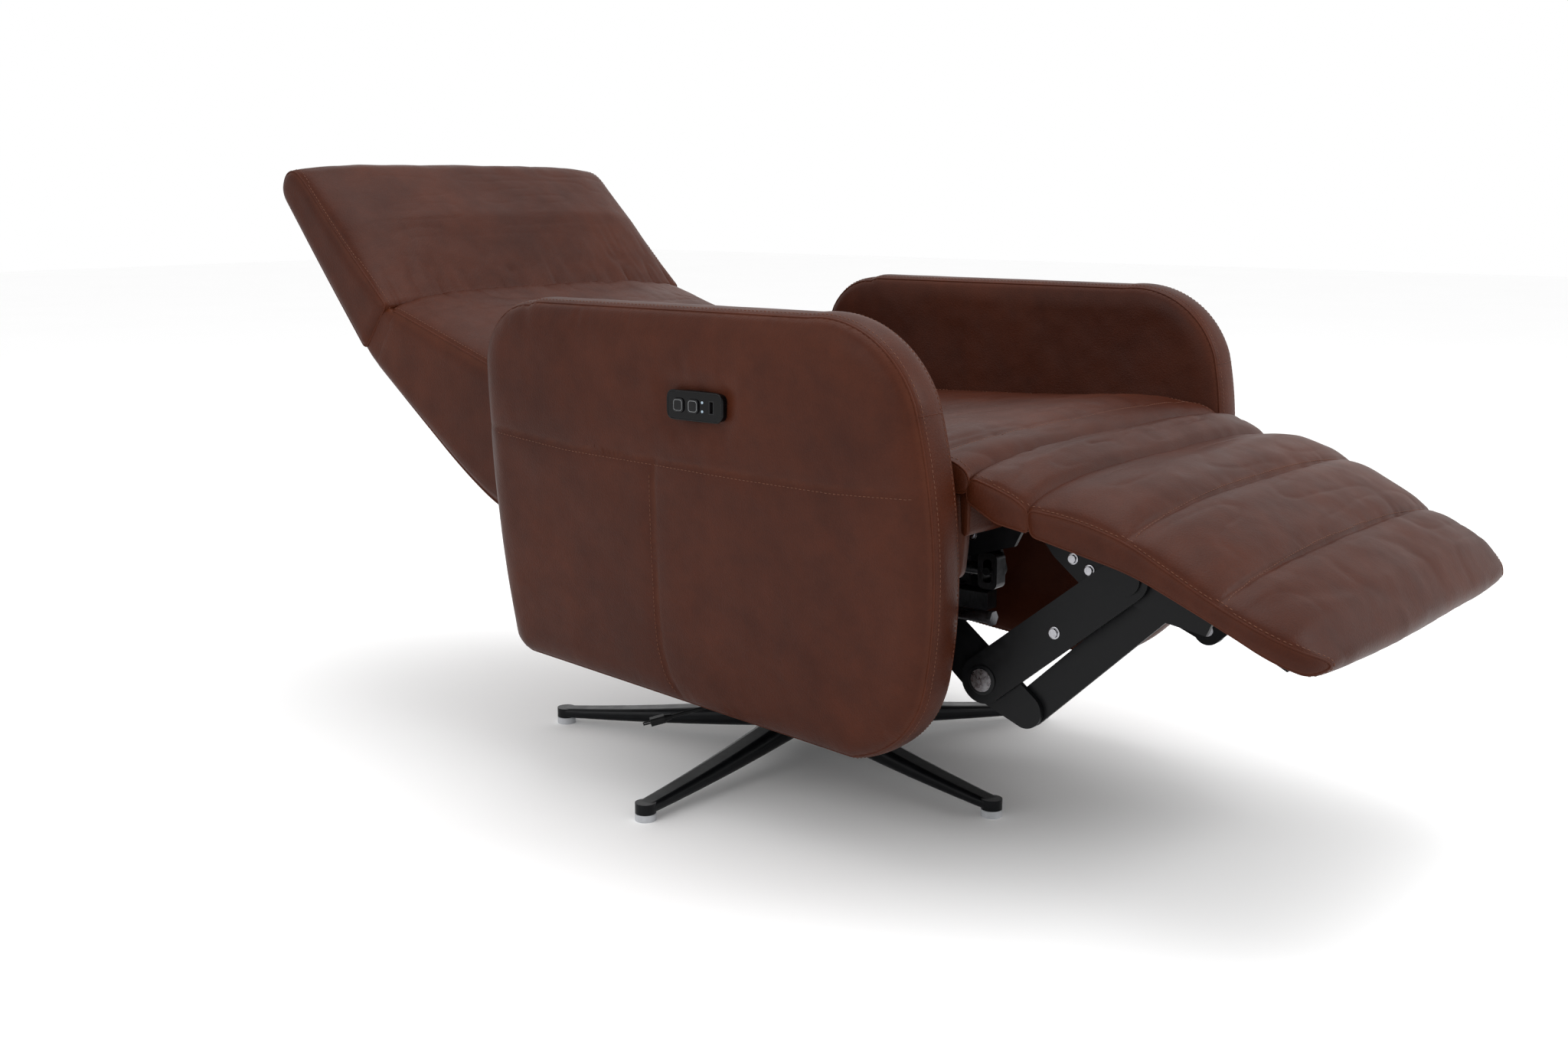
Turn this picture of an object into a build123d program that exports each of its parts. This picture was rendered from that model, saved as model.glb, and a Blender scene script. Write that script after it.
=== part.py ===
"""Power recliner armchair on a five-star swivel base, reclined with the footrest out.

Millimetres, +Z up, the chair faces -Y and +X is the sitter's left.  The origin is the
centre of the chair's outline on the floor.  Side views are drawn as (y, z) from the
swivel axis, which stands axis_y behind the origin.
"""
from build123d import *
import os
from math import cos, pi, radians, sin, sqrt, tan

os.makedirs("parts", exist_ok=True)

# ---------------------------------------------------------------- driving dimensions
axis_y = 58.0                       # swivel axis, behind the middle of the outline

leg_count, leg_radius = 5, 360.0    # star base, to the centre of each glide
first_leg = 40.6                    # direction of the first leg, degrees from +X
glide_radius, glide_height = 13.0, 9.0
post_radius, post_top = 24.0, 118.0
running_gap = 0.05                  # radial clearance in every turning fit

arm_top, arm_half_width = 623.0, 373.0   # outer seam of the arm at its top
arm_bend = 1850.0                   # the arms bend inwards about a long level axis
arm_core_width = 45.0               # between the outer and the inner seam
outer_crown, inner_crown = 15.0, 8.0     # padding that stands proud of the seams
band_thickness = 12.0               # padded strip round the arm's edge

seat_half, back_half, head_half, foot_half = 302.0, 292.0, 298.0, 302.0
plate = 6.0                         # mechanism plates
seat_plate_x = 214.0                # mechanism layers, from the middle outwards
idler_x = 221.0
drive_x = 228.0                     # the footrest brackets share this layer
link_x = 235.0

knee = (-474.0, 442.0)              # footrest hinge
torque_axis = (-260.0, 360.0)
elbow = (-431.0, 222.0)
idler_elbow = (-481.9, 194.3)
link_top = (-602.0, 360.0)
idler_top = (-644.0, 347.0)
back_hinge_axis = (80.0, 440.0)
head_hinge_axis = (503.0, 594.0)
actuator_z = 286.1
crank_pin = (-290.7, actuator_z)
loose_hole, loose_pin = 14.6, 6.0   # the two open pivots at the top of the links

panel_y, panel_z = -140.0, 518.0    # control panel on the right arm
panel_length, panel_height = 84.0, 35.0
panel_face = 388.0
button_size = 16.0

lead_diameter = 5.0


def side(x=0.0):
    """Upright plane facing +X, drawn in (y, z) from the swivel axis."""
    return Plane(origin=(x, axis_y, 0), x_dir=(0, 1, 0), z_dir=(1, 0, 0))


def level(z):
    """Level plane at height z, drawn in (x, y) from the swivel axis."""
    return Plane(origin=(0, axis_y, z))


def front(y):
    """Upright plane facing the front, drawn in (x, z)."""
    return Plane(origin=(0, axis_y + y, 0), x_dir=(1, 0, 0), z_dir=(0, -1, 0))


# ---------------------------------------------------------------- star base
leg_angles = [first_leg + 360 / leg_count * i for i in range(leg_count)]
leg_sections = [(30, 44, 46, 34), (190, 27, 37, 22), (leg_radius, 16, 26, 13)]  # r, z, width, depth

with BuildPart() as star_base:
    with BuildSketch(level(22)):
        Circle(45)
    extrude(amount=44)
    for angle in leg_angles:
        out = Vector(cos(radians(angle)), sin(radians(angle)), 0)
        for radius, z, width, depth in leg_sections:
            place = Plane(origin=out * radius + Vector(0, axis_y, z), x_dir=out.rotate(Axis.Z, 90), z_dir=out)
            with BuildSketch(place):
                RectangleRounded(width, depth, depth * 0.4)
        loft()
    with BuildSketch(level(glide_height + 0.5)):
        with PolarLocations(leg_radius, leg_count, start_angle=first_leg):
            Circle(glide_radius)
    extrude(amount=13)
    with BuildSketch(level(30)):
        Circle(post_radius)
    extrude(amount=40, mode=Mode.SUBTRACT)
    with BuildSketch(level(0)):
        with PolarLocations(leg_radius, leg_count, start_angle=first_leg):
            Circle(4)
    extrude(amount=17, mode=Mode.SUBTRACT)
star_base.part.label = "star_base"
export_step(star_base.part, "parts/star_base.step")

with BuildPart() as foot_glides:
    with BuildSketch(level(0)):
        with PolarLocations(leg_radius, leg_count, start_angle=first_leg):
            Circle(glide_radius)
    extrude(amount=glide_height)
    with BuildSketch(level(glide_height)):
        with PolarLocations(leg_radius, leg_count, start_angle=first_leg):
            Circle(4)
    extrude(amount=8)
foot_glides.part.label = "foot_glides"
export_step(foot_glides.part, "parts/foot_glides.step")

with BuildPart() as swivel_post:
    with BuildSketch(level(30)):
        Circle(post_radius)
    extrude(amount=post_top - 30)
    chamfer(swivel_post.faces().sort_by(Axis.Z)[-1].edges(), 3)
swivel_post.part.label = "swivel_post"
export_step(swivel_post.part, "parts/swivel_post.step")

with BuildPart() as thrust_bearing:
    with BuildSketch(level(66)):
        Circle(42)
        Circle(post_radius + 0.5, mode=Mode.SUBTRACT)
    extrude(amount=5.8)
thrust_bearing.part.label = "thrust_bearing"
export_step(thrust_bearing.part, "parts/thrust_bearing.step")

# ---------------------------------------------------------------- chassis
with BuildPart() as swivel_housing:
    with BuildSketch(level(72)):
        Circle(38)
    extrude(amount=53)
    with BuildSketch(level(119)):
        Circle(75)
    extrude(amount=6)
    with BuildSketch(level(72)):
        Circle(post_radius + running_gap)
    extrude(amount=53, mode=Mode.SUBTRACT)
swivel_housing.part.label = "swivel_housing"
export_step(swivel_housing.part, "parts/swivel_housing.step")

chassis_bolt_grid = (250.0, 120.0)
arm_bolt_y, arm_bolt_z = (-90.0, 90.0), (210.0, 265.0)
with BuildPart() as top_plate:
    with BuildSketch(level(125)):
        RectangleRounded(290, 220, 20)
        with GridLocations(*chassis_bolt_grid, 2, 2):
            Circle(4.6, mode=Mode.SUBTRACT)
    extrude(amount=5)
top_plate.part.label = "top_plate"
export_step(top_plate.part, "parts/top_plate.step")

tube_wall = 2.0
beam_end, beam_y = 246.0, 100.0
with BuildPart() as chassis_frame:
    with BuildSketch(level(130)):
        with GridLocations(chassis_bolt_grid[0], 1, 2, 1):
            Rectangle(30, 300)
    extrude(amount=20)
    with BuildSketch(level(150)):
        with GridLocations(1, 2 * beam_y, 1, 2):
            Rectangle(2 * beam_end, 30)
    extrude(amount=30)
    with BuildSketch(front(150)):
        with Locations((-125, 140), (125, 140)):
            Rectangle(30 - 2 * tube_wall, 20 - 2 * tube_wall)
    extrude(amount=300, mode=Mode.SUBTRACT)
    with BuildSketch(side(-beam_end)):
        with Locations((-beam_y, 165), (beam_y, 165)):
            Rectangle(30 - 2 * tube_wall, 30 - 2 * tube_wall)
    extrude(amount=2 * beam_end, mode=Mode.SUBTRACT)
    with BuildSketch(level(130)):
        with GridLocations(*chassis_bolt_grid, 2, 2):
            Circle(4.6)
    extrude(amount=3, mode=Mode.SUBTRACT)
chassis_frame.part.label = "chassis_frame"
export_step(chassis_frame.part, "parts/chassis_frame.step")

with BuildPart() as guide_rail:
    with BuildSketch(level(180)):
        with Locations((198, -10)):
            Rectangle(24, 320)
    extrude(amount=26)
    chamfer(guide_rail.edges().filter_by(Axis.Y).group_by(Axis.Z)[-1], 2)


# ---------------------------------------------------------------- arms
def arm_slab(inner, outer, y_low, y_high):
    """Solid between two bends, measured outwards from the outer seam surface."""
    centre = (arm_half_width - arm_bend, arm_top)
    reach, depth = 25, 560
    with BuildPart() as slab:
        with BuildSketch(front(y_high)):
            with Locations(centre):
                Circle(arm_bend + outer)
                Circle(arm_bend + inner, mode=Mode.SUBTRACT)
            with Locations((arm_half_width - 60, arm_top + reach - depth / 2)):
                Rectangle(260, depth, mode=Mode.INTERSECT)
        extrude(amount=y_high - y_low)
    return slab.part


def arm_outline(inset=0.0):
    """Side view of the arm: bowed front, a big top corner and a rising bottom edge."""
    with BuildSketch(mode=Mode.PRIVATE) as outline:
        with BuildLine():
            Line((135, 618), (120, arm_top - 1))
            Line((120, arm_top - 1), (-290, arm_top - 1))
            ThreePointArc((-290, arm_top - 1), (-386, 594), (-425, 538))
            ThreePointArc((-425, 538), (-442, 391), (-416, 230))
            ThreePointArc((-416, 230), (-376, 165), (-300, 123))
            Line((-300, 123), (200, 165))
            ThreePointArc((200, 165), (219, 172), (226, 192))
            Line((226, 192), (213, 545))
            ThreePointArc((213, 545), (190, 597), (135, 618))
        make_face()
        if inset:
            offset(amount=-inset, mode=Mode.REPLACE)
    return outline.sketch


with BuildPart() as arm_frame:
    add(arm_slab(-arm_core_width, 0, -460, 240))
    with BuildSketch(side(200)):
        add(arm_outline(band_thickness))
        add(arm_outline(band_thickness + 55), mode=Mode.SUBTRACT)
        with Locations((20, 380)):
            Rectangle(60, 480)
        add(arm_outline(band_thickness), mode=Mode.INTERSECT)
    extrude(amount=220, mode=Mode.INTERSECT)

with BuildPart() as arm_band:
    add(arm_slab(-arm_core_width, 0, -460, 240))
    with BuildSketch(side(200)):
        add(arm_outline())
        add(arm_outline(band_thickness), mode=Mode.SUBTRACT)
    extrude(amount=220, mode=Mode.INTERSECT)

with BuildPart() as arm_outer_panel:
    add(arm_slab(0, outer_crown, -460, 240))
    with BuildSketch(side(200)):
        add(arm_outline())
    extrude(amount=220, mode=Mode.INTERSECT)

with BuildPart() as arm_inner_panel:
    add(arm_slab(-arm_core_width - inner_crown, -arm_core_width, -460, 240))
    with BuildSketch(side(200)):
        add(arm_outline())
    extrude(amount=220, mode=Mode.INTERSECT)
    with BuildSketch(side(230)):
        for y in arm_bolt_y:
            for z in arm_bolt_z:
                with Locations((y, z)):
                    Circle(4.6)
    extrude(amount=80, mode=Mode.SUBTRACT)

bracket_plate = 4.0
with BuildPart() as arm_bracket:
    add(arm_slab(-arm_core_width - inner_crown - bracket_plate, -arm_core_width - inner_crown, -130, 130))
    with BuildSketch(side(200)):
        with Locations((0, 225)):
            Rectangle(250, 150)
    extrude(amount=220, mode=Mode.INTERSECT)
    with BuildSketch(side(beam_end)):
        with Locations((-beam_y, 165), (beam_y, 165)):
            Rectangle(30, 30)
    extrude(amount=9)
    with BuildSketch(side(230)):
        for y in arm_bolt_y:
            for z in arm_bolt_z:
                with Locations((y, z)):
                    Circle(4.6)
    extrude(amount=80, mode=Mode.SUBTRACT)


def inner_face_x(z):
    """Half width between the arms' inner faces at height z."""
    bend = arm_bend - arm_core_width - inner_crown
    return arm_half_width - arm_bend + sqrt(bend ** 2 - (arm_top - z) ** 2)


with BuildPart() as chassis_bolts:
    with BuildSketch(level(119)):
        with GridLocations(*chassis_bolt_grid, 2, 2):
            RegularPolygon(7.5, 6)
    extrude(amount=6)
    with BuildSketch(level(125)):
        with GridLocations(*chassis_bolt_grid, 2, 2):
            Circle(4)
    extrude(amount=9)
    for sign in (-1, 1):
        for y in arm_bolt_y:
            for z in arm_bolt_z:
                head_x = inner_face_x(z) - bracket_plate - 6.2
                with BuildSketch(side(sign * head_x)):
                    with Locations((y, z)):
                        RegularPolygon(7.5, 6)
                extrude(amount=sign * 4)
                with BuildSketch(side(sign * head_x)):
                    with Locations((y, z)):
                        Circle(4)
                extrude(amount=sign * 16)
chassis_bolts.part.label = "chassis_bolts"
export_step(chassis_bolts.part, "parts/chassis_bolts.step")


# ---------------------------------------------------------------- control panel, right arm
def lozenge():
    """Control panel outline: a rounded rectangle with gently bowed long sides."""
    half_l, half_h, bow, corner = panel_length / 2, panel_height / 2, 3.0, 9.0
    with BuildSketch(mode=Mode.PRIVATE) as outline:
        with BuildLine():
            for s in (-1, 1):
                ThreePointArc((panel_y - half_l, panel_z + s * (half_h - bow)), (panel_y, panel_z + s * half_h),
                              (panel_y + half_l, panel_z + s * (half_h - bow)))
            for s in (-1, 1):
                Line((panel_y + s * half_l, panel_z + bow - half_h), (panel_y + s * half_l, panel_z + half_h - bow))
        make_face()
        fillet(outline.vertices(), corner)
    return outline.sketch


button_places = [(panel_y + 23, panel_z), (panel_y + 1, panel_z)]
light_places = [(panel_y - 12, panel_z + 5), (panel_y - 12, panel_z - 5)]
usb_place = (panel_y - 25, panel_z)
usb_mouth = (5.0, 13.0)

with BuildPart() as control_bezel:
    with BuildSketch(side(-panel_face)):
        add(lozenge())
    extrude(amount=14)
    with BuildSketch(side(-panel_face + 14)):
        with Locations((panel_y, panel_z)):
            RectangleRounded(70, 26, 4)
    extrude(amount=22)
    fillet(control_bezel.faces().sort_by(Axis.X)[0].edges(), 1.5)
    with BuildSketch(side(-panel_face)):
        with Locations(*button_places):
            RectangleRounded(button_size + 0.6, button_size + 0.6, 5)
    extrude(amount=7, mode=Mode.SUBTRACT)
    with BuildSketch(side(-panel_face)):
        with Locations(*light_places):
            Circle(1.5)
    extrude(amount=3, mode=Mode.SUBTRACT)
    with BuildSketch(side(-panel_face)):
        with Locations(usb_place):
            Rectangle(usb_mouth[0] + 2, usb_mouth[1] + 2)
    extrude(amount=14, mode=Mode.SUBTRACT)
control_bezel.part.label = "control_bezel"
export_step(control_bezel.part, "parts/control_bezel.step")

for place, name in zip(button_places, ("button_recline", "button_upright")):
    with BuildPart() as button:
        with BuildSketch(side(-panel_face - 2)):
            with Locations(place):
                RectangleRounded(button_size, button_size, 4.7)
        extrude(amount=6.5)
        fillet(button.faces().sort_by(Axis.X)[0].edges(), 1)
    button.part.label = name
    export_step(button.part, f"parts/{name}.step")

with BuildPart() as status_lights:
    with BuildSketch(side(-panel_face - 0.5)):
        with Locations(*light_places):
            Circle(1.5)
    extrude(amount=3.5)
status_lights.part.label = "status_lights"
export_step(status_lights.part, "parts/status_lights.step")

with BuildPart() as usb_socket:
    with BuildSketch(side(-panel_face)):
        with Locations(usb_place):
            Rectangle(usb_mouth[0] + 2, usb_mouth[1] + 2)
    extrude(amount=14)
    with BuildSketch(side(-panel_face)):
        with Locations(usb_place):
            Rectangle(*usb_mouth)
    extrude(amount=11, mode=Mode.SUBTRACT)
usb_socket.part.label = "usb_socket"
export_step(usb_socket.part, "parts/usb_socket.step")

# ---------------------------------------------------------------- low-voltage lead
lead_route = [(-125, -2, 117.5), (-129, 2, 104), (-148, 17, 91), (-178, 40, 85), (-207, 66, 76)]


def tangent_radii(points):
    """As large an arc at each corner as its two runs allow."""
    radii = []
    for before, here, after in zip(points, points[1:], points[2:]):
        into, away = Vector(*here) - Vector(*before), Vector(*after) - Vector(*here)
        turn = radians(into.get_angle(away))
        radii.append(0.45 * min(into.length, away.length) / tan(turn / 2))
    return radii


lead_radii = tangent_radii(lead_route)
print("lead arc radii", [round(r) for r in lead_radii])
lead_points = [(x, y + axis_y, z) for x, y, z in lead_route]
with BuildPart() as power_lead:
    with BuildLine() as lead_line:
        FilletPolyline(*lead_points, radius=lead_radii)
    with BuildSketch(Plane(origin=lead_line.line @ 0, z_dir=lead_line.line % 0)):
        Circle(lead_diameter / 2)
    sweep()
lead_length = lead_line.wires()[0].length
section_area = pi * lead_diameter ** 2 / 4
print("lead length", round(lead_length, 1), "volume ratio", round(power_lead.part.volume / lead_length / section_area, 3))
power_lead.part.label = "power_lead"
export_step(power_lead.part, "parts/power_lead.step")

with BuildPart() as lead_gland:
    with BuildSketch(Plane(origin=lead_points[0], z_dir=(Vector(*lead_points[0]) - Vector(*lead_points[1])))):
        Circle(6)
    extrude(amount=5, taper=-8)
lead_gland.part.label = "lead_gland"
export_step(lead_gland.part, "parts/lead_gland.step")

plug_axis = (Vector(*lead_route[-1]) - Vector(*lead_route[-2])).normalized()
plug_start = Vector(*lead_points[-1])
with BuildPart() as lead_plug:
    with BuildSketch(Plane(origin=plug_start, x_dir=(0, 0, 1), z_dir=plug_axis)):
        Circle(3.4)
    with BuildSketch(Plane(origin=plug_start + plug_axis * 9, x_dir=(0, 0, 1), z_dir=plug_axis)):
        Circle(5)
    loft()
    with BuildSketch(Plane(origin=plug_start + plug_axis * 9, x_dir=(0, 0, 1), z_dir=plug_axis)):
        RectangleRounded(10, 15, 3)
    extrude(amount=19)
    with BuildSketch(Plane(origin=plug_start + plug_axis * 28, x_dir=(0, 0, 1), z_dir=plug_axis)):
        with Locations((0, -4), (0, 4)):
            Circle(1.1)
    extrude(amount=10)
lead_plug.part.label = "lead_plug"
export_step(lead_plug.part, "parts/lead_plug.step")


# ---------------------------------------------------------------- seat carriage
def strap(points, radii):
    """Flat bar outline round a row of pivots."""
    with BuildSketch(mode=Mode.PRIVATE) as bar:
        for place, radius in zip(points, radii):
            with Locations(place):
                Circle(radius)
        make_hull()
    return bar.sketch


with BuildPart() as mechanism_plate:
    with BuildSketch(side(seat_plate_x)):
        with BuildLine():
            Polyline((60, 186), (60, 385), (-20, 385), (-404, 400), (-434, 400), (-462, 448), (-488, 436),
                     (-455, 372), (-300, 325), (-200, 300), (-120, 280), (-120, 186), close=True)
        make_face()
        with Locations(knee):
            Circle(14)
        with Locations(torque_axis):
            Circle(11 + running_gap, mode=Mode.SUBTRACT)
        with Locations((40, actuator_z)):
            Circle(9, mode=Mode.SUBTRACT)
    extrude(amount=plate)
    fillet(mechanism_plate.edges().filter_by(Axis.X).filter_by(lambda e: e.length > 5).group_by(Axis.Z)[0], 8)

with BuildPart() as slide_runner:
    with BuildSketch(front(60)):
        with Locations((198, 198)):
            Rectangle(32, 23)
        with Locations((198, 194)):
            Rectangle(26, 25, mode=Mode.SUBTRACT)
    extrude(amount=180)

seat_side_x, board = 272.0, 22.0
with BuildPart() as seat_side:
    with BuildSketch(side(seat_side_x)):
        with BuildLine():
            Polyline((50, 341), (50, 440), (-434, 440), (-434, 392), (-428, 341), close=True)
        make_face()
    extrude(amount=board)
    fillet(seat_side.edges().filter_by(Axis.X).group_by(Axis.Z)[0], 12)

with BuildPart() as seat_front_rail:
    with BuildSketch(level(400)):
        with Locations((0, -419)):
            Rectangle(2 * seat_side_x, board)
    extrude(amount=40)
seat_front_rail.part.label = "seat_front_rail"
export_step(seat_front_rail.part, "parts/seat_front_rail.step")

with BuildPart() as seat_rear_rail:
    with BuildSketch(level(385)):
        with Locations((0, 31)):
            Rectangle(2 * (seat_side_x - 4), board)
    extrude(amount=55)
seat_rear_rail.part.label = "seat_rear_rail"
export_step(seat_rear_rail.part, "parts/seat_rear_rail.step")

spring_wire, spring_z, spring_swing, spring_turns = 1.7, 436.0, 22.0, 12
spring_from, spring_to = 18.0, -406.0
with BuildPart() as seat_springs:
    pitch = (spring_to - spring_from) / (spring_turns + 1)
    for centre_x in (-200, -100, 0, 100, 200):
        turns = [(centre_x, spring_from)]
        for i in range(spring_turns):
            x = centre_x + spring_swing * (1 if i % 2 else -1)
            turns += [(x, spring_from + pitch * (i + 0.55)), (x, spring_from + pitch * (i + 1.45))]
        turns.append((centre_x, spring_to))
        with BuildLine(level(spring_z)) as wire:
            FilletPolyline(*turns, radius=6)
        with BuildSketch(Plane(origin=wire.line @ 0, z_dir=wire.line % 0)):
            Circle(spring_wire)
        sweep()
seat_springs.part.label = "seat_springs"
export_step(seat_springs.part, "parts/seat_springs.step")

with BuildPart() as seat_cushion:
    with BuildSketch(side(-seat_half)):
        with BuildLine():
            Polyline((54, 441), (54, 466), (-200, 480), (-370, 494), (-440, 482), (-458, 464), (-458, 446),
                     (-452, 441), close=True)
        make_face()
    extrude(amount=2 * seat_half)
    fillet(seat_cushion.faces().sort_by(Axis.X)[0].edges() + seat_cushion.faces().sort_by(Axis.X)[-1].edges(), 4)
seat_cushion.part.label = "seat_cushion"
export_step(seat_cushion.part, "parts/seat_cushion.step")

with BuildPart() as knee_pin:
    with BuildSketch(side(seat_plate_x + plate)):
        with Locations(knee):
            Circle(7)
    extrude(amount=plate + 9)
    with BuildSketch(side(drive_x + plate + 1)):
        with Locations(knee):
            Circle(12)
    extrude(amount=3)

with BuildPart() as stabiliser_rod:
    with BuildSketch(front(-200)):
        with Locations((261, 300)):
            Circle(7)
    extrude(amount=252)
    with BuildSketch(front(-452)):
        with Locations((261, 300)):
            RegularPolygon(8.5, 6)
    extrude(amount=5)
    for y in (-230, -400):
        with BuildSketch(front(y)):
            with Locations((261, 316)):
                Rectangle(16, 50)
            with Locations((268, 345)):
                Rectangle(8, 24)
        extrude(amount=5)

with BuildPart() as actuator_cross_tube:
    with BuildSketch(side(-seat_plate_x - plate)):
        with Locations((40, actuator_z)):
            Circle(9)
            Circle(7, mode=Mode.SUBTRACT)
    extrude(amount=2 * (seat_plate_x + plate))
actuator_cross_tube.part.label = "actuator_cross_tube"
export_step(actuator_cross_tube.part, "parts/actuator_cross_tube.step")

with BuildPart() as actuator_motor:
    with BuildSketch(front(0)):
        with Locations((0, actuator_z)):
            RectangleRounded(58, 66, 12)
    extrude(amount=90)
    with BuildSketch(front(-45)):
        with Locations((46, actuator_z)):
            RectangleRounded(40, 46, 18)
    extrude(amount=40)
    with BuildSketch(side(-12)):
        with Locations((40, actuator_z)):
            Circle(16)
        with Locations((18, actuator_z)):
            Rectangle(44, 32)
        with Locations((40, actuator_z)):
            Circle(9, mode=Mode.SUBTRACT)
    extrude(amount=24)
    with BuildSketch(side(-40)):
        with Locations((40, actuator_z)):
            Circle(9)
    extrude(amount=80, mode=Mode.SUBTRACT)
actuator_motor.part.label = "actuator_motor"
export_step(actuator_motor.part, "parts/actuator_motor.step")

with BuildPart() as actuator_tube:
    with BuildSketch(front(-90)):
        with Locations((0, actuator_z)):
            Circle(17)
            Circle(9, mode=Mode.SUBTRACT)
    extrude(amount=110)
actuator_tube.part.label = "actuator_tube"
export_step(actuator_tube.part, "parts/actuator_tube.step")

with BuildPart() as actuator_rod:
    with BuildSketch(front(-180)):
        with Locations((0, actuator_z)):
            Circle(8)
    extrude(amount=98)
    with BuildSketch(side(-10)):
        with Locations(crank_pin):
            RectangleRounded(28, 46, 8)
    extrude(amount=20)
    with BuildSketch(side(-10)):
        with Locations(crank_pin):
            RectangleRounded(12.4, 30, 5)
    extrude(amount=20, mode=Mode.SUBTRACT)
actuator_rod.part.label = "actuator_rod"
export_step(actuator_rod.part, "parts/actuator_rod.step")

# ---------------------------------------------------------------- footrest linkage
with BuildPart() as torque_tube:
    with BuildSketch(side(-drive_x)):
        with Locations(torque_axis):
            Circle(11)
            Circle(9, mode=Mode.SUBTRACT)
    extrude(amount=2 * drive_x)
torque_tube.part.label = "torque_tube"
export_step(torque_tube.part, "parts/torque_tube.step")

with BuildPart() as crank_lever:
    with BuildSketch(side(12)):
        add(strap((torque_axis, crank_pin), (20, 12)))
        with Locations(torque_axis):
            Circle(11, mode=Mode.SUBTRACT)
    extrude(amount=plate)
    with BuildSketch(side(-13)):
        with Locations(crank_pin):
            Circle(5)
    extrude(amount=25)
crank_lever.part.label = "crank_lever"
export_step(crank_lever.part, "parts/crank_lever.step")

with BuildPart() as drive_link:
    with BuildSketch(side(drive_x)):
        add(strap((torque_axis, elbow, idler_elbow), (24, 27, 20)))
    extrude(amount=plate)

with BuildPart() as link_pin:
    with BuildSketch(side(drive_x + plate)):
        with Locations(elbow):
            Circle(8)
    extrude(amount=plate + 2)
    with BuildSketch(side(link_x + plate + 0.5)):
        with Locations(elbow):
            Circle(13)
    extrude(amount=2.5)
    with BuildSketch(side(drive_x)):
        with Locations(idler_elbow):
            Circle(8)
    extrude(amount=-plate - 1.4)

with BuildPart() as long_link:
    with BuildSketch(side(link_x)):
        add(strap((elbow, link_top), (27, 25)))
        with Locations(elbow):
            Circle(8 + running_gap, mode=Mode.SUBTRACT)
        with Locations(link_top):
            Circle(loose_hole, mode=Mode.SUBTRACT)
    extrude(amount=plate)

with BuildPart() as idler_link:
    with BuildSketch(side(idler_x)):
        add(strap((idler_elbow, idler_top), (20, 20)))
        with Locations(idler_elbow):
            Circle(8 + running_gap, mode=Mode.SUBTRACT)
        with Locations(idler_top):
            Circle(loose_hole, mode=Mode.SUBTRACT)
    extrude(amount=plate)

# ---------------------------------------------------------------- footrest
pad_bottom = [(-478, 405), (-520, 405), (-640, 378), (-812, 293)]
link_slot = (link_top, idler_top)       # the board and the pad are cut away over the link ends
slot_radii, slot_width = (35, 31), 26
board_half, tip_corner = 251.0, 68.0    # the pad's two front corners are rounded in plan
with BuildPart() as footrest_bracket:
    with BuildSketch(side(drive_x)):
        with BuildLine():
            Polyline((-488, 448), (-461, 434), (-512, 372), (-560, 334), (-602, 334), (-640, 320), (-690, 312),
                     (-700, 335), (-640, 365.4), (-545, 386.8), (-511, 393), close=True)
        make_face()
        with Locations(knee):
            Circle(14)
        with Locations(knee):
            Circle(7 + running_gap, mode=Mode.SUBTRACT)
    extrude(amount=plate)
    with BuildSketch(side(drive_x + plate)):
        with Locations(link_top):
            Circle(loose_pin)
    extrude(amount=plate + 1.5)
    with BuildSketch(side(link_x + plate + 0.5)):
        with Locations(link_top):
            Circle(17)
    extrude(amount=2.5)
    with BuildSketch(side(drive_x)):
        with Locations(idler_top):
            Circle(loose_pin)
    extrude(amount=-plate - 0.6)

with BuildPart() as footrest_board:
    with BuildSketch(side(-board_half)):
        with BuildLine():
            Polyline((-536, 401.4), (-640, 378), (-784, 306.8), (-784, 294.8), (-640, 366), (-536, 389.4), close=True)
        make_face()
    extrude(amount=2 * board_half)
    for sign in (-1, 1):
        with BuildSketch(side(sign * (idler_x - 1))):
            add(strap(link_slot, slot_radii))
        extrude(amount=sign * slot_width, mode=Mode.SUBTRACT)
footrest_board.part.label = "footrest_board"
export_step(footrest_board.part, "parts/footrest_board.step")

with BuildPart() as footrest_pad:
    with BuildSketch(side(-foot_half)):
        with BuildLine():
            Polyline((-478, 452), (-520, 462), (-575, 454), (-631, 440), (-731, 396), (-806, 352), (-828, 328),
                     (-832, 312), (-822, 296), *reversed(pad_bottom), close=True)
        make_face()
    extrude(amount=2 * foot_half)
    with BuildSketch(level(280)):
        with Locations((0, -832 + 250)):
            RectangleRounded(2 * foot_half, 500, tip_corner)
    extrude(amount=200, mode=Mode.INTERSECT)
    fillet(footrest_pad.faces().sort_by(Axis.X)[0].edges() + footrest_pad.faces().sort_by(Axis.X)[-1].edges(), 3)
    for sign in (-1, 1):
        with BuildSketch(side(sign * (seat_plate_x - 2))):
            add(strap((knee, (-516, 380)), (17, 30)))
        extrude(amount=sign * 30, mode=Mode.SUBTRACT)
        with BuildSketch(side(sign * (idler_x - 1))):
            add(strap(link_slot, slot_radii))
        extrude(amount=sign * slot_width, mode=Mode.SUBTRACT)
footrest_pad.part.label = "footrest_pad"
export_step(footrest_pad.part, "parts/footrest_pad.step")

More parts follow.
